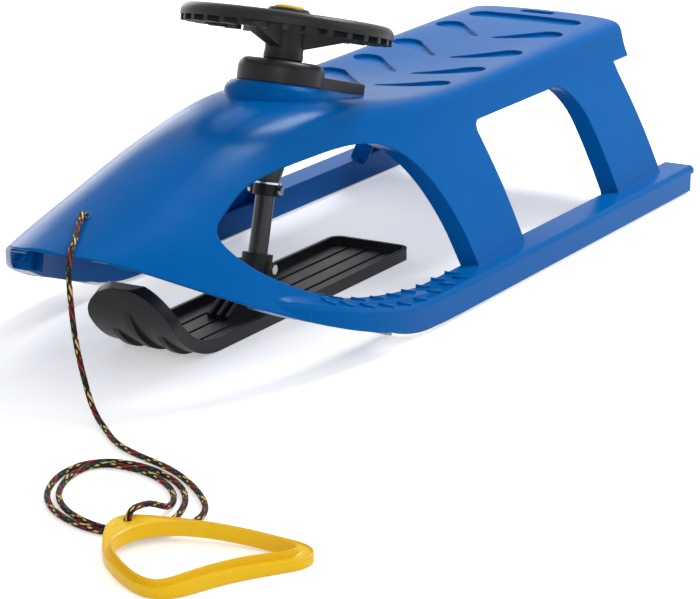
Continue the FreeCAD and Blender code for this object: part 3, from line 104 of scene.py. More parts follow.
def select(piece: bpy.types.Object) -> None:
    """Select one piece alone and make it the active one.

    Args:
        piece: The piece.
    """
    deselect()
    piece.select_set(True)
    bpy.context.view_layer.objects.active = piece


def select_faces(piece: bpy.types.Object, wanted: Callable[[bpy.types.MeshPolygon], bool]) -> None:
    """Select faces of a piece in edit mode.

    Args:
        piece: The piece being edited.
        wanted: Says whether a face is wanted.
    """
    bpy.ops.mesh.select_all(action="DESELECT")
    bpy.ops.mesh.select_mode(type="FACE")
    bpy.ops.object.mode_set(mode="OBJECT")
    for face in piece.data.polygons:
        face.select = wanted(face)
    bpy.ops.object.mode_set(mode="EDIT")


def join(name: str, pieces: list[bpy.types.Object]) -> bpy.types.Object:
    """Join pieces into one.

    Args:
        name: Name of the joined piece.
        pieces: What is joined.

    Returns:
        The joined piece.
    """
    select(pieces[0])
    for piece in pieces:
        piece.select_set(True)
    bpy.ops.object.join()
    pieces[0].name = name
    return pieces[0]


def mesh_piece(
        name: str, points: list[Vector], faces: list[tuple[int, ...]]) -> bpy.types.Object:
    """A new piece from points and faces.

    Args:
        name: Name of the piece.
        points: Its corners.
        faces: Numbers of the corners of each face.

    Returns:
        The piece, with its place in its mesh.
    """
    mesh = bpy.data.meshes.new(name)
    mesh.from_pydata(points, [], faces)
    piece = bpy.data.objects.new(name, mesh)
    bpy.context.scene.collection.objects.link(piece)
    return piece


def smooth_line(name: str, route: list[Vector], steps: int, closed: bool) -> list[Vector]:
    """Points along a smooth line that follows its control points.

    Args:
        name: Name of the line.
        route: Its control points.
        steps: Points for each control point.
        closed: Whether the line runs back to its start.

    Returns:
        The points.
    """
    data = bpy.data.curves.new(name, "CURVE")
    data.dimensions = "3D"
    data.resolution_u = steps
    spline = data.splines.new("NURBS")
    spline.points.add(len(route) - 1)
    for point, place in zip(spline.points, route):
        point.co = (*place, 1.0)
    spline.order_u = SPLINE_ORDER
    spline.use_cyclic_u = closed
    spline.use_endpoint_u = not closed
    curve = bpy.data.objects.new(name, data)
    bpy.context.scene.collection.objects.link(curve)
    bpy.context.view_layer.update()
    line = bpy.data.meshes.new_from_object(curve)
    points = [vertex.co.copy() for vertex in line.vertices]
    bpy.data.objects.remove(curve)
    bpy.data.meshes.remove(line)
    return points


def finish_of(node: str) -> bpy.types.Material:
    """The finish that a node of the model wears."""
    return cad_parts[node].data.materials[0]


def fit(piece: bpy.types.Object, material: bpy.types.Material, body: Body) -> None:
    """Dress a piece and let it ride a body.

    Args:
        piece: The piece.
        material: Its finish.
        body: The body that it moves with.
    """
    piece.data.materials.clear()
    piece.data.materials.append(material)
    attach(piece, body.value)


class Nodes:
    """A small builder for one material's nodes."""

    EDGE_SAMPLES = 6

    def __init__(self, name: str) -> None:
        """Start a material with a plain shader.

        Args:
            name: Name of the material.
        """
        self.material = bpy.data.materials.new(name)
        self.material.use_nodes = True
        self.tree = self.material.node_tree
        self.shader = self.tree.nodes["Principled BSDF"]

    def add(self, kind: str, **values: object) -> bpy.types.Node:
        """Add a node and set its properties or input values.

        Args:
            kind: Type of the node, without its prefix.
            values: Values by property name, or by input name with spaces as underscores.

        Returns:
            The new node.
        """
        node = self.tree.nodes.new("ShaderNode" + kind)
        for name, value in values.items():
            if hasattr(node, name):
                setattr(node, name, value)
            else:
                node.inputs[name.replace("_", " ")].default_value = value
        return node

    def link(self, source: Socket, target: Socket) -> None:
        """Join an output to an input."""
        self.tree.links.new(source, target)

    def coordinates(self) -> Socket:
        """Object coordinates, in metres."""
        return self.add("TexCoord").outputs["Object"]

    def noise(self, scale: float, detail: float = 2.0) -> Socket:
        """A noise pattern on Object coordinates.

        Args:
            scale: Bumps per metre.
            detail: Octaves of finer noise.

        Returns:
            The noise as a number from 0 to 1.
        """
        node = self.add("TexNoise", Scale=scale, Detail=detail)
        self.link(self.coordinates(), node.inputs["Vector"])
        return node.outputs["Fac"]

    def paint(self, source: Socket, stops: Range, dark: Colour, light: Colour) -> None:
        """Colour the surface along a number.

        Args:
            source: The number from 0 to 1.
            stops: Where the dark colour ends and where the light one begins.
            dark: Colour up to the first stop.
            light: Colour from the second stop on.
        """
        node = self.add("ValToRGB")
        for element, place, colour in zip(node.color_ramp.elements, stops, (dark, light)):
            element.position = place
            element.color = (*colour, 1.0)
        self.link(source, node.inputs["Fac"])
        self.link(node.outputs["Color"], self.shader.inputs["Base Color"])

    def gloss(self, source: Socket, roughness: Range) -> None:
        """Make the surface smoother or rougher along a number.

        Args:
            source: The number from 0 to 1.
            roughness: Roughness at 0 and at 1.
        """
        node = self.add("MapRange", To_Min=roughness[0], To_Max=roughness[1])
        self.link(source, node.inputs["Value"])
        self.link(node.outputs["Result"], self.shader.inputs["Roughness"])

    def bump(self, source: Socket, strength: float, height: float, edge: float = 0.0) -> None:
        """Raise the surface by a number, and soften its edges.

        Args:
            source: The height from 0 to 1.
            strength: Share of the effect.
            height: Height of the bumps in metres.
            edge: Radius of the softened edges in metres.
        """
        node = self.add("Bump", Strength=strength, Distance=height)
        self.link(source, node.inputs["Height"])
        self.link(node.outputs["Normal"], self.shader.inputs["Normal"])
        if edge:
            soft = self.add("Bevel", samples=self.EDGE_SAMPLES, Radius=edge)
            self.link(soft.outputs["Normal"], node.inputs["Normal"])


@dataclass(frozen=True)
class MouldedPlastic:
    """Injection moulded plastic with a faint orange peel, uneven gloss and soft edges."""

    name: str
    colour: Colour
    shade: Colour
    roughness: Range
    grain: float
    grain_height: float
    specular: float = 0.5
    edge: float = 0.0
    tint: Colour = (1.0, 1.0, 1.0)

    CLOUD_SCALE: ClassVar[float] = 9.0
    CLOUD_DETAIL: ClassVar[float] = 3.0
    CLOUD_STOPS: ClassVar[Range] = (0.3, 0.7)
    SMEAR_SCALE: ClassVar[float] = 38.0
    SMEAR_DETAIL: ClassVar[float] = 4.0
    REFRACTION: ClassVar[float] = 1.5
    PEEL_STRENGTH: ClassVar[float] = 0.4

    def material(self) -> bpy.types.Material:
        """The finish as a material."""
        nodes = Nodes(self.name)
        cloud = nodes.noise(self.CLOUD_SCALE, self.CLOUD_DETAIL)
        nodes.paint(cloud, self.CLOUD_STOPS, self.shade, self.colour)
        nodes.gloss(nodes.noise(self.SMEAR_SCALE, self.SMEAR_DETAIL), self.roughness)
        nodes.shader.inputs["IOR"].default_value = self.REFRACTION
        nodes.shader.inputs["Specular IOR Level"].default_value = self.specular
        nodes.shader.inputs["Specular Tint"].default_value = (*self.tint, 1.0)
        peel = nodes.noise(self.grain)
        nodes.bump(peel, self.PEEL_STRENGTH, self.grain_height, self.edge)
        return nodes.material


@dataclass(frozen=True)
class BrushedMetal:
    """Drawn or turned metal with fine lines along one direction."""

    name: str
    colour: Colour
    stretch: Point
    roughness: Range

    LINE_DETAIL: ClassVar[float] = 3.0
    LINE_STOPS: ClassVar[Range] = (0.35, 0.65)
    LINE_SHADE: ClassVar[float] = 0.8
    LINE_STRENGTH: ClassVar[float] = 0.25
    LINE_HEIGHT: ClassVar[float] = 0.0001

    def material(self) -> bpy.types.Material:
        """The finish as a material."""
        nodes = Nodes(self.name)
        mapping = nodes.add("Mapping")
        mapping.inputs["Scale"].default_value = self.stretch
        nodes.link(nodes.coordinates(), mapping.inputs["Vector"])
        lines = nodes.add("TexNoise", Scale=1.0, Detail=self.LINE_DETAIL)
        nodes.link(mapping.outputs["Vector"], lines.inputs["Vector"])
        darker = tuple(self.LINE_SHADE * part for part in self.colour)
        nodes.paint(lines.outputs["Fac"], self.LINE_STOPS, darker, self.colour)
        nodes.gloss(lines.outputs["Fac"], self.roughness)
        nodes.shader.inputs["Metallic"].default_value = 1.0
        nodes.bump(lines.outputs["Fac"], self.LINE_STRENGTH, self.LINE_HEIGHT)
        return nodes.material


@dataclass(frozen=True)
class BraidYarn:
    """Polypropylene yarn of the braided rope, with a fine grain of fibres."""

    name: str
    colour: Colour

    FIBRE_SCALE: ClassVar[float] = 2600.0
    FIBRE_STOPS: ClassVar[Range] = (0.3, 0.65)
    FIBRE_SHADE: ClassVar[float] = 0.55
    FIBRE_STRENGTH: ClassVar[float] = 0.5
    FIBRE_HEIGHT: ClassVar[float] = 0.00015
    ROUGHNESS: ClassVar[Range] = (0.5, 0.75)
    SPECULAR: ClassVar[float] = 0.2

    def material(self) -> bpy.types.Material:
        """The finish as a material."""
        nodes = Nodes(self.name)
        fibres = nodes.noise(self.FIBRE_SCALE)
        darker = tuple(self.FIBRE_SHADE * part for part in self.colour)
        nodes.paint(fibres, self.FIBRE_STOPS, darker, self.colour)
        nodes.gloss(fibres, self.ROUGHNESS)
        nodes.shader.inputs["Specular IOR Level"].default_value = self.SPECULAR
        nodes.bump(fibres, self.FIBRE_STRENGTH, self.FIBRE_HEIGHT)
        return nodes.material


BLUE = MouldedPlastic(
    "blue gloss", colour=(0.0, 0.114, 0.405), shade=(0.0, 0.107, 0.386), roughness=(0.18, 0.26),
    grain=420.0, grain_height=0.00015, specular=0.045, edge=0.003, tint=(0.35, 0.8, 1.0))
BLACK = MouldedPlastic(
    "black satin", colour=(0.02, 0.02, 0.022), shade=(0.013, 0.013, 0.015), roughness=(0.3, 0.42),
    grain=900.0, grain_height=0.00015, specular=0.2, edge=0.0012)
BUSH = MouldedPlastic(
    "bush black", colour=(0.016, 0.016, 0.017), shade=(0.01, 0.01, 0.011), roughness=(0.3, 0.4),
    grain=700.0, grain_height=0.0001)
YELLOW = MouldedPlastic(
    "yellow gloss", colour=(0.95, 0.6, 0.01), shade=(0.9, 0.55, 0.008), roughness=(0.22, 0.32),
    grain=500.0, grain_height=0.0001, specular=0.2, edge=0.0015)
COLUMN = MouldedPlastic(
    "column paint", colour=(0.03, 0.03, 0.032), shade=(0.022, 0.022, 0.024), roughness=(0.28, 0.36),
    grain=1400.0, grain_height=0.0001)
STEEL = BrushedMetal(
    "shoe steel", colour=(0.75, 0.76, 0.78), stretch=(4.0, 900.0, 900.0), roughness=(0.22, 0.42))
ZINC = BrushedMetal(
    "zinc", colour=(0.78, 0.79, 0.8), stretch=(500.0, 500.0, 90.0), roughness=(0.2, 0.36))
YARNS = (
    BraidYarn("black yarn", (0.006, 0.006, 0.007)),
    BraidYarn("red yarn", (0.5, 0.012, 0.02)),
    BraidYarn("yellow yarn", (0.85, 0.62, 0.16)),
    BraidYarn("green yarn", (0.008, 0.13, 0.06)),
)

NODE_FINISHES = {
    BLUE: ("body_shell",),
    BLACK: ("steering_console", "console_ring", "column_collar", "column_plug", "steering_wheel",
            "wheel_hub_disc", "front_ski"),
    BUSH: ("upper_bush", "lower_bush"),
    YELLOW: ("wheel_cap",),
    COLUMN: ("steering_column",),
    STEEL: ("left_runner_shoe", "right_runner_shoe"),
    ZINC: ("runner_shoe_screws", "console_screws", "wheel_bolt", "wheel_washer", "collar_bolt",
           "collar_nut", "thrust_washer", "ski_bolt", "ski_nut"),
}


def dress_nodes() -> None:
    """Give each shown node of the model its finish."""
    for finish, names in NODE_FINISHES.items():
        material = finish.material()
        for name in names:
            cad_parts[name].data.materials[0] = material
            LOG.info("%s is %s", name, finish.name)


@dataclass(frozen=True)
class Braid:
    """A round braid: two families of strands that cross over and under each other."""

    radius: float
    lay: float
    strands: int = 8
    valley: float = 0.88
    ridge: float = 0.97
    leading: tuple[int, ...] = (1, 0, 0, 0, 2, 0, 0, 0)
    trailing: tuple[int, ...] = (0, 2, 0, 1, 0, 3, 0, 0)

    RINGS_PER_LAY: ClassVar[int] = 4
    PLUMB: ClassVar[float] = 0.1

    def mesh(self, name: str, line: list[Vector]) -> bpy.types.Object:
        """A braided tube along a line.

        Args:
            name: Name of the piece.
            line: Points along its middle.

        Returns:
            The new piece, whose faces carry the yarns in order.
        """
        rings = self.rings(line)
        around = 2 * self.strands
        points = []
        for m, (place, across, up) in enumerate(rings):
            for k in range(around):
                turn = 2 * k + m % 2
                angle = turn * math.pi / around
                out = across * math.cos(angle) + up * math.sin(angle)
                points.append(place + out * self.radius * self.height(m, turn))
        faces = []
        yarns = []
        for m in range(len(rings) - 2):
            for k in range(around):
                after = (k + m % 2) % around
                before = (k + m % 2 - 1) % around
                faces.append((m * around + k, (m + 1) * around + after,
                              (m + 2) * around + k, (m + 1) * around + before))
                yarns.append(self.yarn(m, 2 * k + m % 2))
        for m, flip in ((0, True), (len(rings) - 2, False)):
            caps = self.end(m, around, len(points), flip)
            faces += caps
            yarns += [0] * len(caps)
            points.append((rings[m][0] + rings[m + 1][0]) / 2)
        piece = mesh_piece(name, points, faces)
        for polygon, yarn in zip(piece.data.polygons, yarns):
            polygon.material_index = yarn
            polygon.use_smooth = True
        return piece

    def rings(self, line: list[Vector]) -> list[tuple[Vector, Vector, Vector]]:
        """Places along a line a quarter of a lay apart, each with two directions across it.

        Args:
            line: Points along the middle.

        Returns:
            Place, sideways and upward direction of each ring.
        """
        step = self.lay / self.RINGS_PER_LAY
        places = [line[0]]
        travel = 0.0
        for first, second in zip(line, line[1:]):
            run = (second - first).length
            while travel + run >= step * len(places):
                share = (step * len(places) - travel) / run
                places.append(first.lerp(second, share))
            travel += run
        across = UP.cross(places[1] - places[0])
        if across.length < step * self.PLUMB:
            across = Vector((0.0, 1.0, 0.0))
        rings = []
        for k, place in enumerate(places):
            ahead = places[min(k + 1, len(places) - 1)] - places[max(k - 1, 0)]
            ahead.normalize()
            across = (across - ahead * across.dot(ahead)).normalized()
            rings.append((place, across, ahead.cross(across)))
        return rings

    def height(self, m: int, turn: int) -> float:
        """Share of the radius at one point of the lattice: low at crossings, full on a strand.

        Args:
            m: Number of the ring.
            turn: Half steps around the ring.

        Returns:
            The share.
        """
        first, second = (m + turn) // 2, (m - turn) // 2
        odd = first % 2 + second % 2
        return (self.valley, self.ridge, 1.0)[odd]

    def yarn(self, m: int, turn: int) -> int:
        """Which yarn lies on top at one face of the lattice.

        Args:
            m: Number of the ring where the face begins.
            turn: Half steps around the ring.

        Returns:
            The yarn's number.
        """
        first = ((m + turn) // 2) // 2
        second = ((m - turn) // 2) // 2
        if (first + second) % 2:
            return self.trailing[second % self.strands]
        return self.leading[first % self.strands]

    @staticmethod
    def end(m: int, around: int, middle: int, flip: bool) -> list[tuple[int, ...]]:
        """Faces that close one end of the tube.

        Args:
            m: Number of the ring next to the end.
            around: Points of one ring.
            middle: Number of the end's middle point.
            flip: Whether the faces look backwards.

        Returns:
            The faces.
        """
        zigzag = []
        for k in range(around):
            pair = (m * around + k, (m + 1) * around + k)
            zigzag += pair if m % 2 == 0 else pair[::-1]
        faces = []
        for k, first in enumerate(zigzag):
            second = zigzag[(k + 1) % len(zigzag)]
            faces.append((second, first, middle) if flip else (first, second, middle))
        return faces


@dataclass
class TowRope:
    """The tow rope: from its knot in the hood down to a loose coil and over to the handle."""

    diameter: float = 0.0055
    lay: float = 0.0064
    length: float = 1.463
    exit: Point = (0.447, 0.0, 0.16413)
    hood_knot: Point = (445.96, 0.0, 159.96)
    hood_bend: Point = (448.93, 0.0, 171.9)
    down: tuple[Point, ...] = (
        (986, 9, 164), (1003, 18, 160), (1020, 27, 157.5), (1036, 34, 152), (1045.5, 38, 138),
        (1047, 40, 118), (1046, 41, 96), (1045, 43, 74), (1043, 46, 52), (1042, 51, 31),
        (1044, 58, 14), (1052, 71, 4), (1066, 88, 2.75), (1082, 105, 2.75), (1096, 123, 2.75),
        (1106, 143, 2.75), (1114, 164, 2.75), (1121, 187, 2.75), (1132, 210, 2.75),
        (1148, 234, 2.75), (1167, 256.5, 2.75), (1185.5, 273.5, 2.75), (1206, 284, 2.75),
        (1226, 284, 2.75),
    )
    turns: tuple[float, ...] = (51, 109, 36, 107, 30, 104.5, 23)
    points_per_quarter: int = 4
    over: tuple[Point, ...] = (
        (1141.5, 176, 2.75), (1147, 196, 2.75), (1157, 214, 2.75), (1171, 231, 2.75),
        (1188, 243.5, 2.75), (1205, 250, 4), (1219, 253, 9.5), (1233, 255, 16.5),
        (1247, 255.5, 22),
    )
    handle_bend: Point = (753.35, 253.76, 23.31)
    handle_end: Point = (753.05, 253.2, 12.02)
    line_steps: int = 20
    end_span: int = 4

    def route(self) -> list[Vector]:
        """Control points of the whole rope, in metres."""
        points = [Vector(p) * MILLIMETRE for p in (self.hood_knot, self.hood_bend)]
        points += [from_rear(*p) for p in self.down]
        points += self.coil(points[-1])
        points += [from_rear(*p) for p in self.over]
        points += [Vector(p) * MILLIMETRE for p in (self.handle_bend, self.handle_end)]
        return points

    def coil(self, start: Vector) -> list[Vector]:
        """Control points of the coil's quarter turns, the first one heading forwards.

        Args:
            start: Where the coil begins.

        Returns:
            The points, on lines that touch the turns.
        """
        points = []
        heading = Vector((1.0, 0.0, 0.0))
        step = math.pi / 2 / self.points_per_quarter
        for size in self.turns:
            radius = size * MILLIMETRE
            right = heading.cross(UP)
            centre = start + right * radius
            for k in range(self.points_per_quarter):
                angle = (k + 0.5) * step
                out = heading * math.sin(angle) - right * math.cos(angle)
                points.append(centre + out * radius / math.cos(step / 2))
            start = centre + heading * radius
            heading = right
        points.append(start)
        return points

    def build(self) -> None:
        """Make the rope and its two knots."""
        yarns = [yarn.material() for yarn in YARNS]
        line = smooth_line("tow_rope_line", self.route(), self.line_steps, closed=False)
        rope = Braid(self.diameter / 2, self.lay).mesh("tow_rope_braid", line)
        start, finish = line[0], line[-1]
        hood_way = start - line[self.end_span]
        grip_way = finish - line[-1 - self.end_span]
        hood = RopeKnot("hood_rope_knot", "nose_knot", start, hood_way).build()
        grip = RopeKnot("handle_rope_knot", "handle_knot", finish, grip_way).build()
        for piece in (rope, hood, grip):
            for yarn in yarns:
                piece.data.materials.append(yarn)
            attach(piece, Body.SLED.value)
        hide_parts("tow_rope", "tow_rope_coil", "tow_rope_end")
        LOG.info("tow rope with %d points and two knots", len(line))


@dataclass
class RopeKnot:
    """A tight knot at one end of the rope, on the side away from it."""

    name: str
    node: str
    place: Vector
    outward: Vector
    reach: float = 0.0029
    swing: float = 0.0013
    rope_radius: float = 0.0017
    lay: float = 0.0036
    lobes: int = 3
    rounds: int = 2
    points: int = 150

    def build(self) -> bpy.types.Object:
        """Make the knot and hide its stand-in.

        Returns:
            The knot.
        """
        middle = self.place + self.outward.normalized() * (self.swing + self.rope_radius)
        turn = self.outward.to_track_quat("Z", "Y").to_matrix()
        line = []
        for k in range(self.points):
            angle = 2 * math.pi * k / (self.points - 1)
            around, wave = self.rounds * angle, self.lobes * angle
            wide = self.reach + self.swing * math.cos(wave)
            point = Vector(
                (wide * math.cos(around), wide * math.sin(around), self.swing * math.sin(wave)))
            line.append(middle + turn @ point)
        knot = Braid(self.rope_radius, self.lay).mesh(self.name, line)
        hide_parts(self.node)
        LOG.info("%s ties the rope", self.name)
        return knot


@dataclass
class RunnerTread:
    """Raised hooks on the front of the runners that keep a boot from slipping."""

    outer: Outline = (
        (566, 186), (594, 186), (626, 188), (662, 191), (694, 191), (726, 189), (756, 185),
        (784, 178), (808, 171))
    inner: Outline = (
        (556, 171), (584, 170), (615, 169.5), (647, 170), (679, 171), (711, 170), (743, 167),
        (776, 161), (803, 156))
    bar: Point = (0.0046, 0.0115, 0.0044)
    leg: Range = (-0.0042, -0.0036)
    end_normal: float = 0.9
    edge: float = 0.0012
    edge_steps: int = 3
    turn: float = 0.52
    above: float = 0.1

    def build(self) -> None:
        """Make the hooks of both runners."""
        for name, side in (("left_tread", 1.0), ("right_tread", -1.0)):
            model = self.model(side)
            places = [from_rear(x, side * y, 0.0) for x, y in self.outer + self.inner]
            hooks = [self.copy(model, place, side) for place in places]
            bpy.data.objects.remove(model)
            fit(join(name, hooks), finish_of("body_shell"), Body.SLED)
            LOG.info("%s has %d hooks", name, len(hooks))

    def model(self, side: float) -> bpy.types.Object:
        """One rounded hook at the origin.

        Args:
            side: 1 for the left runner and -1 for the right one.

        Returns:
            The hook, a bar with a short leg at its inner end.
        """
        deselect()
        bpy.ops.mesh.primitive_cube_add(size=1.0)
        hook = bpy.context.active_object
        bpy.ops.object.mode_set(mode="EDIT")
        bpy.ops.mesh.select_all(action="SELECT")
        bpy.ops.transform.resize(value=self.bar)
        select_faces(hook, lambda face: face.normal.y * side < -self.end_normal)
        leg = (self.leg[0], side * self.leg[1], 0.0)
        bpy.ops.mesh.extrude_region_move(TRANSFORM_OT_translate={"value": leg})
        bpy.ops.mesh.select_all(action="SELECT")
        bpy.ops.mesh.normals_make_consistent(inside=False)
        bpy.ops.mesh.bevel(offset=self.edge, segments=self.edge_steps, affect="EDGES")
        bpy.ops.object.mode_set(mode="OBJECT")
        bpy.ops.object.shade_smooth()
        return hook

    def copy(self, model: bpy.types.Object, place: Vector, side: float) -> bpy.types.Object:
        """A copy of the hook, square to the runner's top.

        Args:
            model: The hook at the origin.
            place: Place in plan.
            side: 1 for the left runner and -1 for the right one.

        Returns:
            The copy, with its place in its mesh.
        """
        hook = model.copy()
        hook.data = model.data.copy()
        bpy.context.scene.collection.objects.link(hook)
        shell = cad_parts["body_shell"]
        _, seat, normal, _ = shell.ray_cast(place + UP * self.above, -UP)
        turn = Matrix.Rotation(side * self.turn, 4, "Z")
        hook.data.transform(Matrix.Translation(seat) @ lean(normal) @ turn)
        return hook


@dataclass
class NoseRibs:
    """Thin ribs that stiffen the sides inside the nose."""

    stations: tuple[float, ...] = (872.0, 905.0)
    heights: Range = (0.03, 0.112)
    levels: int = 40
    thickness: float = 0.0024
    depth: float = 0.011
    root: float = 0.002
    cuts: int = 11

    def build(self) -> None:
        """Make the ribs of both sides."""
        for name, side in (("left_nose_ribs", 1.0), ("right_nose_ribs", -1.0)):
            ribs = [self.rib(from_rear(x, 0.0, 0.0).x, side) for x in self.stations]
            fit(join(name, ribs), finish_of("body_shell"), Body.SLED)
            LOG.info("%s has %d ribs", name, len(self.stations))

    def wall(self, x: float, z: float, side: float) -> float | None:
        """How far the inner wall of the hood is from the middle.

        Args:
            x: Station along the sled.
            z: Height.
            side: 1 for the left wall and -1 for the right one.

        Returns:
            The distance, or nothing where the side is open.
        """
        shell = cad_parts["body_shell"]
        found, hit, _, _ = shell.ray_cast(Vector((x, 0.0, z)), Vector((0.0, side, 0.0)))
        return abs(hit.y) if found else None

    def rib(self, x: float, side: float) -> bpy.types.Object:
        """One rib against the inner wall.

        Args:
            x: Its station.
            side: 1 for the left wall and -1 for the right one.

        Returns:
            The rib.
        """
        low, high = self.heights
        levels = [low + (high - low) * k / self.levels for k in range(self.levels + 1)]
        closed = [z for z in levels if self.wall(x, z, side) is not None]
        low, high = closed[0] + self.root, closed[-1]
        deselect()
        bpy.ops.mesh.primitive_cube_add(size=1.0, location=(x, 0.0, (low + high) / 2))
        rib = bpy.context.active_object
        rib.scale = (self.thickness, self.depth, high - low)
        bpy.ops.object.transform_apply(location=True, rotation=False, scale=True)
        bpy.ops.object.mode_set(mode="EDIT")
        bpy.ops.mesh.select_all(action="SELECT")
        bpy.ops.mesh.subdivide(number_cuts=self.cuts)
        bpy.ops.object.mode_set(mode="OBJECT")
        reach = self.depth / 2 - self.root
        for vertex in rib.data.vertices:
            wall = self.wall(x, vertex.co.z, side) or 0.0
            vertex.co.y += side * (wall - reach)
        bpy.ops.object.shade_smooth_by_angle()
        return rib


@dataclass(frozen=True)
class Lathe:
    """A turned piece, spun from a profile of radii and heights in millimetres."""

    name: str
    profile: Outline
    steps: int = 72

    MERGE: ClassVar[float] = 0.00001
    SMOOTH_ANGLE: ClassVar[float] = 0.7

    def build(self, place: Matrix) -> bpy.types.Object:
        """Spin the profile.

        Args:
            place: Where its axis stands.

        Returns:
            The piece, with its place in its mesh.
        """
        deselect()
        bpy.ops.mesh.primitive_plane_add(size=MILLIMETRE)
        piece = bpy.context.active_object
        piece.name = self.name
        bpy.ops.object.mode_set(mode="EDIT")
        bpy.ops.mesh.select_mode(type="VERT")
        bpy.ops.mesh.select_all(action="SELECT")
        bpy.ops.mesh.merge(type="CENTER")
        points = [Vector((radius, 0.0, height)) * MILLIMETRE for radius, height in self.profile]
        bpy.ops.transform.translate(value=points[0])
        for first, second in zip(points, points[1:]):
            bpy.ops.mesh.extrude_region_move(TRANSFORM_OT_translate={"value": second - first})
        bpy.ops.mesh.select_all(action="SELECT")
        bpy.ops.mesh.spin(
            steps=self.steps, angle=2 * math.pi, center=(0.0, 0.0, 0.0), axis=(0.0, 0.0, 1.0))
        bpy.ops.mesh.select_all(action="SELECT")
        bpy.ops.mesh.remove_doubles(threshold=self.MERGE)
        bpy.ops.mesh.normals_make_consistent(inside=False)
        bpy.ops.object.mode_set(mode="OBJECT")
        bpy.ops.object.shade_smooth_by_angle(angle=self.SMOOTH_ANGLE)
        piece.data.transform(place)
        return piece


@dataclass
class SteeringTrim:
    """Turned trim about the steering axis: cowl of the console, skirt, crown and cap of the hub."""

    foot: float = 0.16
    tilt: float = 15.0
    cowl: Lathe = Lathe("console_cowl", (
        (43.0, 233.0), (44.8, 233.4), (44.8, 247.0), (44.2, 250.6), (42.4, 253.8), (39.6, 256.0),
        (36.4, 256.9), (27.0, 257.0), (25.4, 256.6), (25.0, 255.4), (25.0, 250.0), (43.0, 240.0),
        (43.0, 233.0)))
    skirt: Lathe = Lathe("hub_skirt", (
        (12.0, 257.6), (19.6, 257.6), (20.4, 258.4), (20.6, 264.0), (14.0, 264.0), (12.0, 257.6)))
    crown: Lathe = Lathe("hub_crown", (
        (0.0, 303.0), (21.0, 303.0), (22.0, 304.4), (22.0, 307.4), (21.2, 309.6), (19.4, 310.8),
        (17.0, 311.0), (16.4, 310.4), (16.2, 309.4), (0.0, 309.4)))
    cap: Lathe = Lathe("hub_cap", (
        (0.0, 309.0), (15.6, 309.0), (15.6, 311.4), (15.0, 312.6), (13.4, 313.4), (8.0, 314.0),
        (0.0, 314.2)))

    def build(self) -> None:
        """Make the trim and let each piece ride its body."""
        tilt = Matrix.Rotation(-math.radians(self.tilt), 4, "Y")
        axis = Matrix.Translation((self.foot, 0.0, 0.0)) @ tilt
        black, yellow = finish_of("steering_console"), finish_of("wheel_cap")
        for lathe, material, slot, body in (
                (self.cowl, black, Slot.BLACK, Body.SLED),
                (self.skirt, black, Slot.BLACK, Body.STEERING),
                (self.crown, black, Slot.BLACK, Body.STEERING),
                (self.cap, yellow, Slot.YELLOW, Body.STEERING)):
            fit(lathe.build(axis), material, body)
            LOG.info("%s rides %s", lathe.name, body.value)


@dataclass
class HoodEyelet:
    """The raised rim of the hole that the tow rope comes out of."""

    place: Point = (0.447, 0.0, 0.16413)
    outward: Point = (0.24143, 0.0, 0.97042)
    rim: Lathe = Lathe("hood_eyelet", (
        (3.7, -1.0), (3.7, 0.4), (4.1, 1.0), (4.9, 1.2), (5.7, 0.9), (6.6, 0.1), (6.9, -1.0),
        (3.7, -1.0)), 48)

    def build(self) -> None:
        """Make the rim on the hood."""
        rim = self.rim.build(Matrix.Translation(self.place) @ lean(Vector(self.outward)))
        fit(rim, finish_of("body_shell"), Body.SLED)
        LOG.info("%s in the hood", self.rim.name)


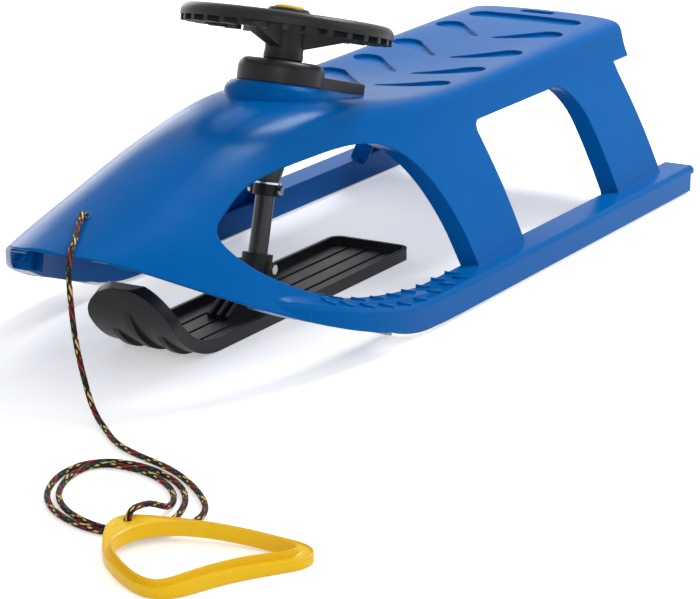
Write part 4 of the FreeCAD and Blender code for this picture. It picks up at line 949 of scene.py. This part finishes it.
@dataclass
class PullHandle:
    """The pull handle: a bowed flange with a skirt below and a collar around its opening."""

    rim: Outline = (
        (1305, 252), (1283, 242), (1266, 243), (1256, 258), (1249, 276), (1242, 298), (1236, 322),
        (1233, 347), (1232, 374), (1231, 400), (1242, 414), (1260, 412), (1272, 404), (1291, 391),
        (1312, 378), (1335, 368), (1356, 360), (1369, 348), (1370, 331), (1363, 312), (1351, 292),
        (1336, 273))
    opening: Outline = (
        (1319, 271), (1303, 269), (1287, 272), (1273, 280), (1262, 292), (1255, 306), (1250, 321),
        (1246, 346), (1244, 372), (1245, 393), (1249, 400), (1259, 397), (1275, 383), (1296, 368),
        (1320, 357), (1341, 350), (1356, 345), (1363, 337), (1360, 321), (1348, 301), (1335, 284),
        (1328, 277))
    section: Outline = (
        (0.0, 0.6), (0.0, 7.4), (0.02, 8.8), (0.06, 9.2), (0.11, 9.2), (0.15, 8.1), (0.2, 7.9),
        (0.7, 7.9), (0.77, 8.3), (0.8, 9.2), (0.82, 12.2), (0.86, 13.0), (0.95, 13.0), (1.0, 12.2),
        (1.0, 0.6), (0.97, 0.0), (0.85, 0.0), (0.82, 0.6), (0.81, 5.0), (0.16, 5.0), (0.15, 0.6),
        (0.12, 0.0), (0.03, 0.0))
    eyelet: Point = (0.75293, 0.25297, 0.00733)
    up: Point = (0.02648, 0.04914, 0.99844)
    hole: float = 0.0036
    hole_sides: int = 40
    cutter: float = 0.04
    line_steps: int = 8
    smooth_angle: float = 0.6

    def loop(self, corners: Outline) -> list[Vector]:
        """Points along a smooth closed outline.

        Args:
            corners: Its control points in plan.

        Returns:
            The points on the plane that the handle lies on.
        """
        route = [from_rear(x, y, 0.0) for x, y in corners]
        points = smooth_line("handle_line", route, self.line_steps, closed=True)
        up, eyelet = Vector(self.up), Vector(self.eyelet)
        for point in points:
            rise = up.x * (point.x - eyelet.x) + up.y * (point.y - eyelet.y)
            point.z = eyelet.z - rise / up.z
        return points

    def build(self) -> None:
        """Make the handle in place of its plain solid."""
        rim, opening = self.loop(self.rim), self.loop(self.opening)
        around = len(rim)
        points = []
        for share, height in self.section:
            lift = Vector(self.up) * height * MILLIMETRE
            points += [first.lerp(second, share) + lift for first, second in zip(rim, opening)]
        faces = []
        for m in range(len(self.section)):
            below, above = m * around, (m + 1) % len(self.section) * around
            for k in range(around):
                after = (k + 1) % around
                faces.append((below + k, above + k, above + after, below + after))
        handle = mesh_piece("rope_handle", points, faces)
        select(handle)
        bpy.ops.object.mode_set(mode="EDIT")
        bpy.ops.mesh.select_all(action="SELECT")
        bpy.ops.mesh.normals_make_consistent(inside=False)
        bpy.ops.object.mode_set(mode="OBJECT")
        self.drill(handle)
        bpy.ops.object.shade_smooth_by_angle(angle=self.smooth_angle)
        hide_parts("pull_handle")
        fit(handle, finish_of("wheel_cap"), Body.SLED)
        LOG.info("handle with %d faces", len(handle.data.polygons))

    def drill(self, handle: bpy.types.Object) -> None:
        """Cut the rope's hole through the flange.

        Args:
            handle: The handle.
        """
        deselect()
        turn = UP.rotation_difference(Vector(self.up)).to_euler()
        bpy.ops.mesh.primitive_cylinder_add(
            vertices=self.hole_sides, radius=self.hole, depth=self.cutter, location=self.eyelet,
            rotation=turn)
        cutter = bpy.context.active_object
        select(handle)
        cut = handle.modifiers.new("hole", "BOOLEAN")
        cut.operation = "DIFFERENCE"
        cut.solver = "EXACT"
        cut.object = cutter
        bpy.ops.object.modifier_apply(modifier=cut.name)
        bpy.data.objects.remove(cutter)


@dataclass(frozen=True)
class Panel:
    """A square soft light: its place, what it points at, the length of its sides and its watts."""

    name: str
    place: Point
    aim: Point
    size: float
    power: float

    def build(self) -> None:
        """Hang the light."""
        data = bpy.data.lights.new(self.name, "AREA")
        data.size = self.size
        data.energy = self.power
        lamp = bpy.data.objects.new(self.name, data)
        lamp.location = self.place
        lamp.rotation_euler = look(self.place, self.aim)
        bpy.context.scene.collection.objects.link(lamp)


@dataclass
class Studio:
    """Pale floor, soft lights and the camera of the photograph."""

    eye: Point = (2.494, 1.468, 0.831)
    target: Point = (-0.0443, 0.0, -0.0425)
    lens: float = 143.8
    sensor: float = 36.0
    white: Colour = (1.0, 1.0, 1.0)
    surround_light: float = 0.5
    surround_seen: float = 1.0
    floor_size: float = 30.0
    floor_height: float = -0.0006
    floor_colour: Colour = (0.95, 0.95, 0.95)
    floor_roughness: float = 0.9
    floor_seen: float = 0.42
    panels: tuple[Panel, ...] = (
        Panel("sky_panel", (-1.25, 0.2, 1.75), (0.2, 0.0, 0.1), 0.6, 26.0),
        Panel("far_panel", (-1.3, -1.85, 0.65), (0.3, 0.0, 0.15), 1.0, 6.5),
        Panel("front_panel", (2.2, 1.2, 1.6), (0.1, 0.0, 0.1), 1.4, 14.0),
        Panel("side_panel", (-0.8, 2.4, 1.2), (0.0, 0.0, 0.1), 1.6, 12.0),
    )

    def build(self) -> None:
        """Make the world, floor, lights and camera."""
        scene = bpy.context.scene
        scene.view_settings.view_transform = "Standard"
        self.world(scene)
        self.floor()
        for panel in self.panels:
            panel.build()
        self.camera(scene)

    def world(self, scene: bpy.types.Scene) -> None:
        """An even pale surrounding.

        Args:
            scene: The scene that it surrounds.
        """
        world = bpy.data.worlds.new("studio")
        world.use_nodes = True
        tree = world.node_tree
        background = tree.nodes["Background"]
        background.inputs["Color"].default_value = (*self.white, 1.0)
        strength = self.seen(tree, self.surround_light, self.surround_seen)
        tree.links.new(strength, background.inputs["Strength"])
        scene.world = world

    @staticmethod
    def seen(tree: bpy.types.NodeTree, unseen: float, strength: float) -> Socket:
        """One strength where the camera, a gloss or a clear material sees, another elsewhere.

        Args:
            tree: Nodes of the world or of a material.
            unseen: Strength for the other light.
            strength: Strength where it is seen.

        Returns:
            The strength.
        """
        paths = tree.nodes.new("ShaderNodeLightPath")
        either = paths.outputs["Is Camera Ray"]
        for name in ("Is Glossy Ray", "Is Transmission Ray"):
            most = tree.nodes.new("ShaderNodeMath")
            most.operation = "MAXIMUM"
            tree.links.new(either, most.inputs[0])
            tree.links.new(paths.outputs[name], most.inputs[1])
            either = most.outputs[0]
        choice = tree.nodes.new("ShaderNodeMapRange")
        choice.inputs["To Min"].default_value = unseen
        choice.inputs["To Max"].default_value = strength
        tree.links.new(either, choice.inputs["Value"])
        return choice.outputs["Result"]

    def floor(self) -> None:
        """A wide pale floor under the sled."""
        deselect()
        bpy.ops.mesh.primitive_plane_add(
            size=self.floor_size, location=(0.0, 0.0, self.floor_height))
        floor = bpy.context.active_object
        floor.name = "floor"
        nodes = Nodes("pale floor")
        nodes.shader.inputs["Base Color"].default_value = (*self.floor_colour, 1.0)
        nodes.shader.inputs["Roughness"].default_value = self.floor_roughness
        nodes.shader.inputs["Emission Color"].default_value = (*self.white, 1.0)
        glow = self.seen(nodes.tree, 0.0, self.floor_seen)
        nodes.link(glow, nodes.shader.inputs["Emission Strength"])
        floor.data.materials.append(nodes.material)

    def camera(self, scene: bpy.types.Scene) -> None:
        """The camera at the photograph's viewing angle.

        Args:
            scene: The scene that it looks at.
        """
        data = bpy.data.cameras.new("camera")
        data.lens = self.lens
        data.sensor_width = self.sensor
        camera = bpy.data.objects.new("camera", data)
        camera.location = self.eye
        camera.rotation_euler = look(self.eye, self.target)
        scene.collection.objects.link(camera)
        scene.camera = camera


def main() -> None:
    """Build the scene in order."""
    logging.basicConfig(level=logging.INFO)
    Studio().build()
    TowRope().build()
    dress_nodes()
    PullHandle().build()
    RunnerTread().build()
    NoseRibs().build()
    HoodEyelet().build()
    SteeringTrim().build()


if __name__ == "__main__":
    main()
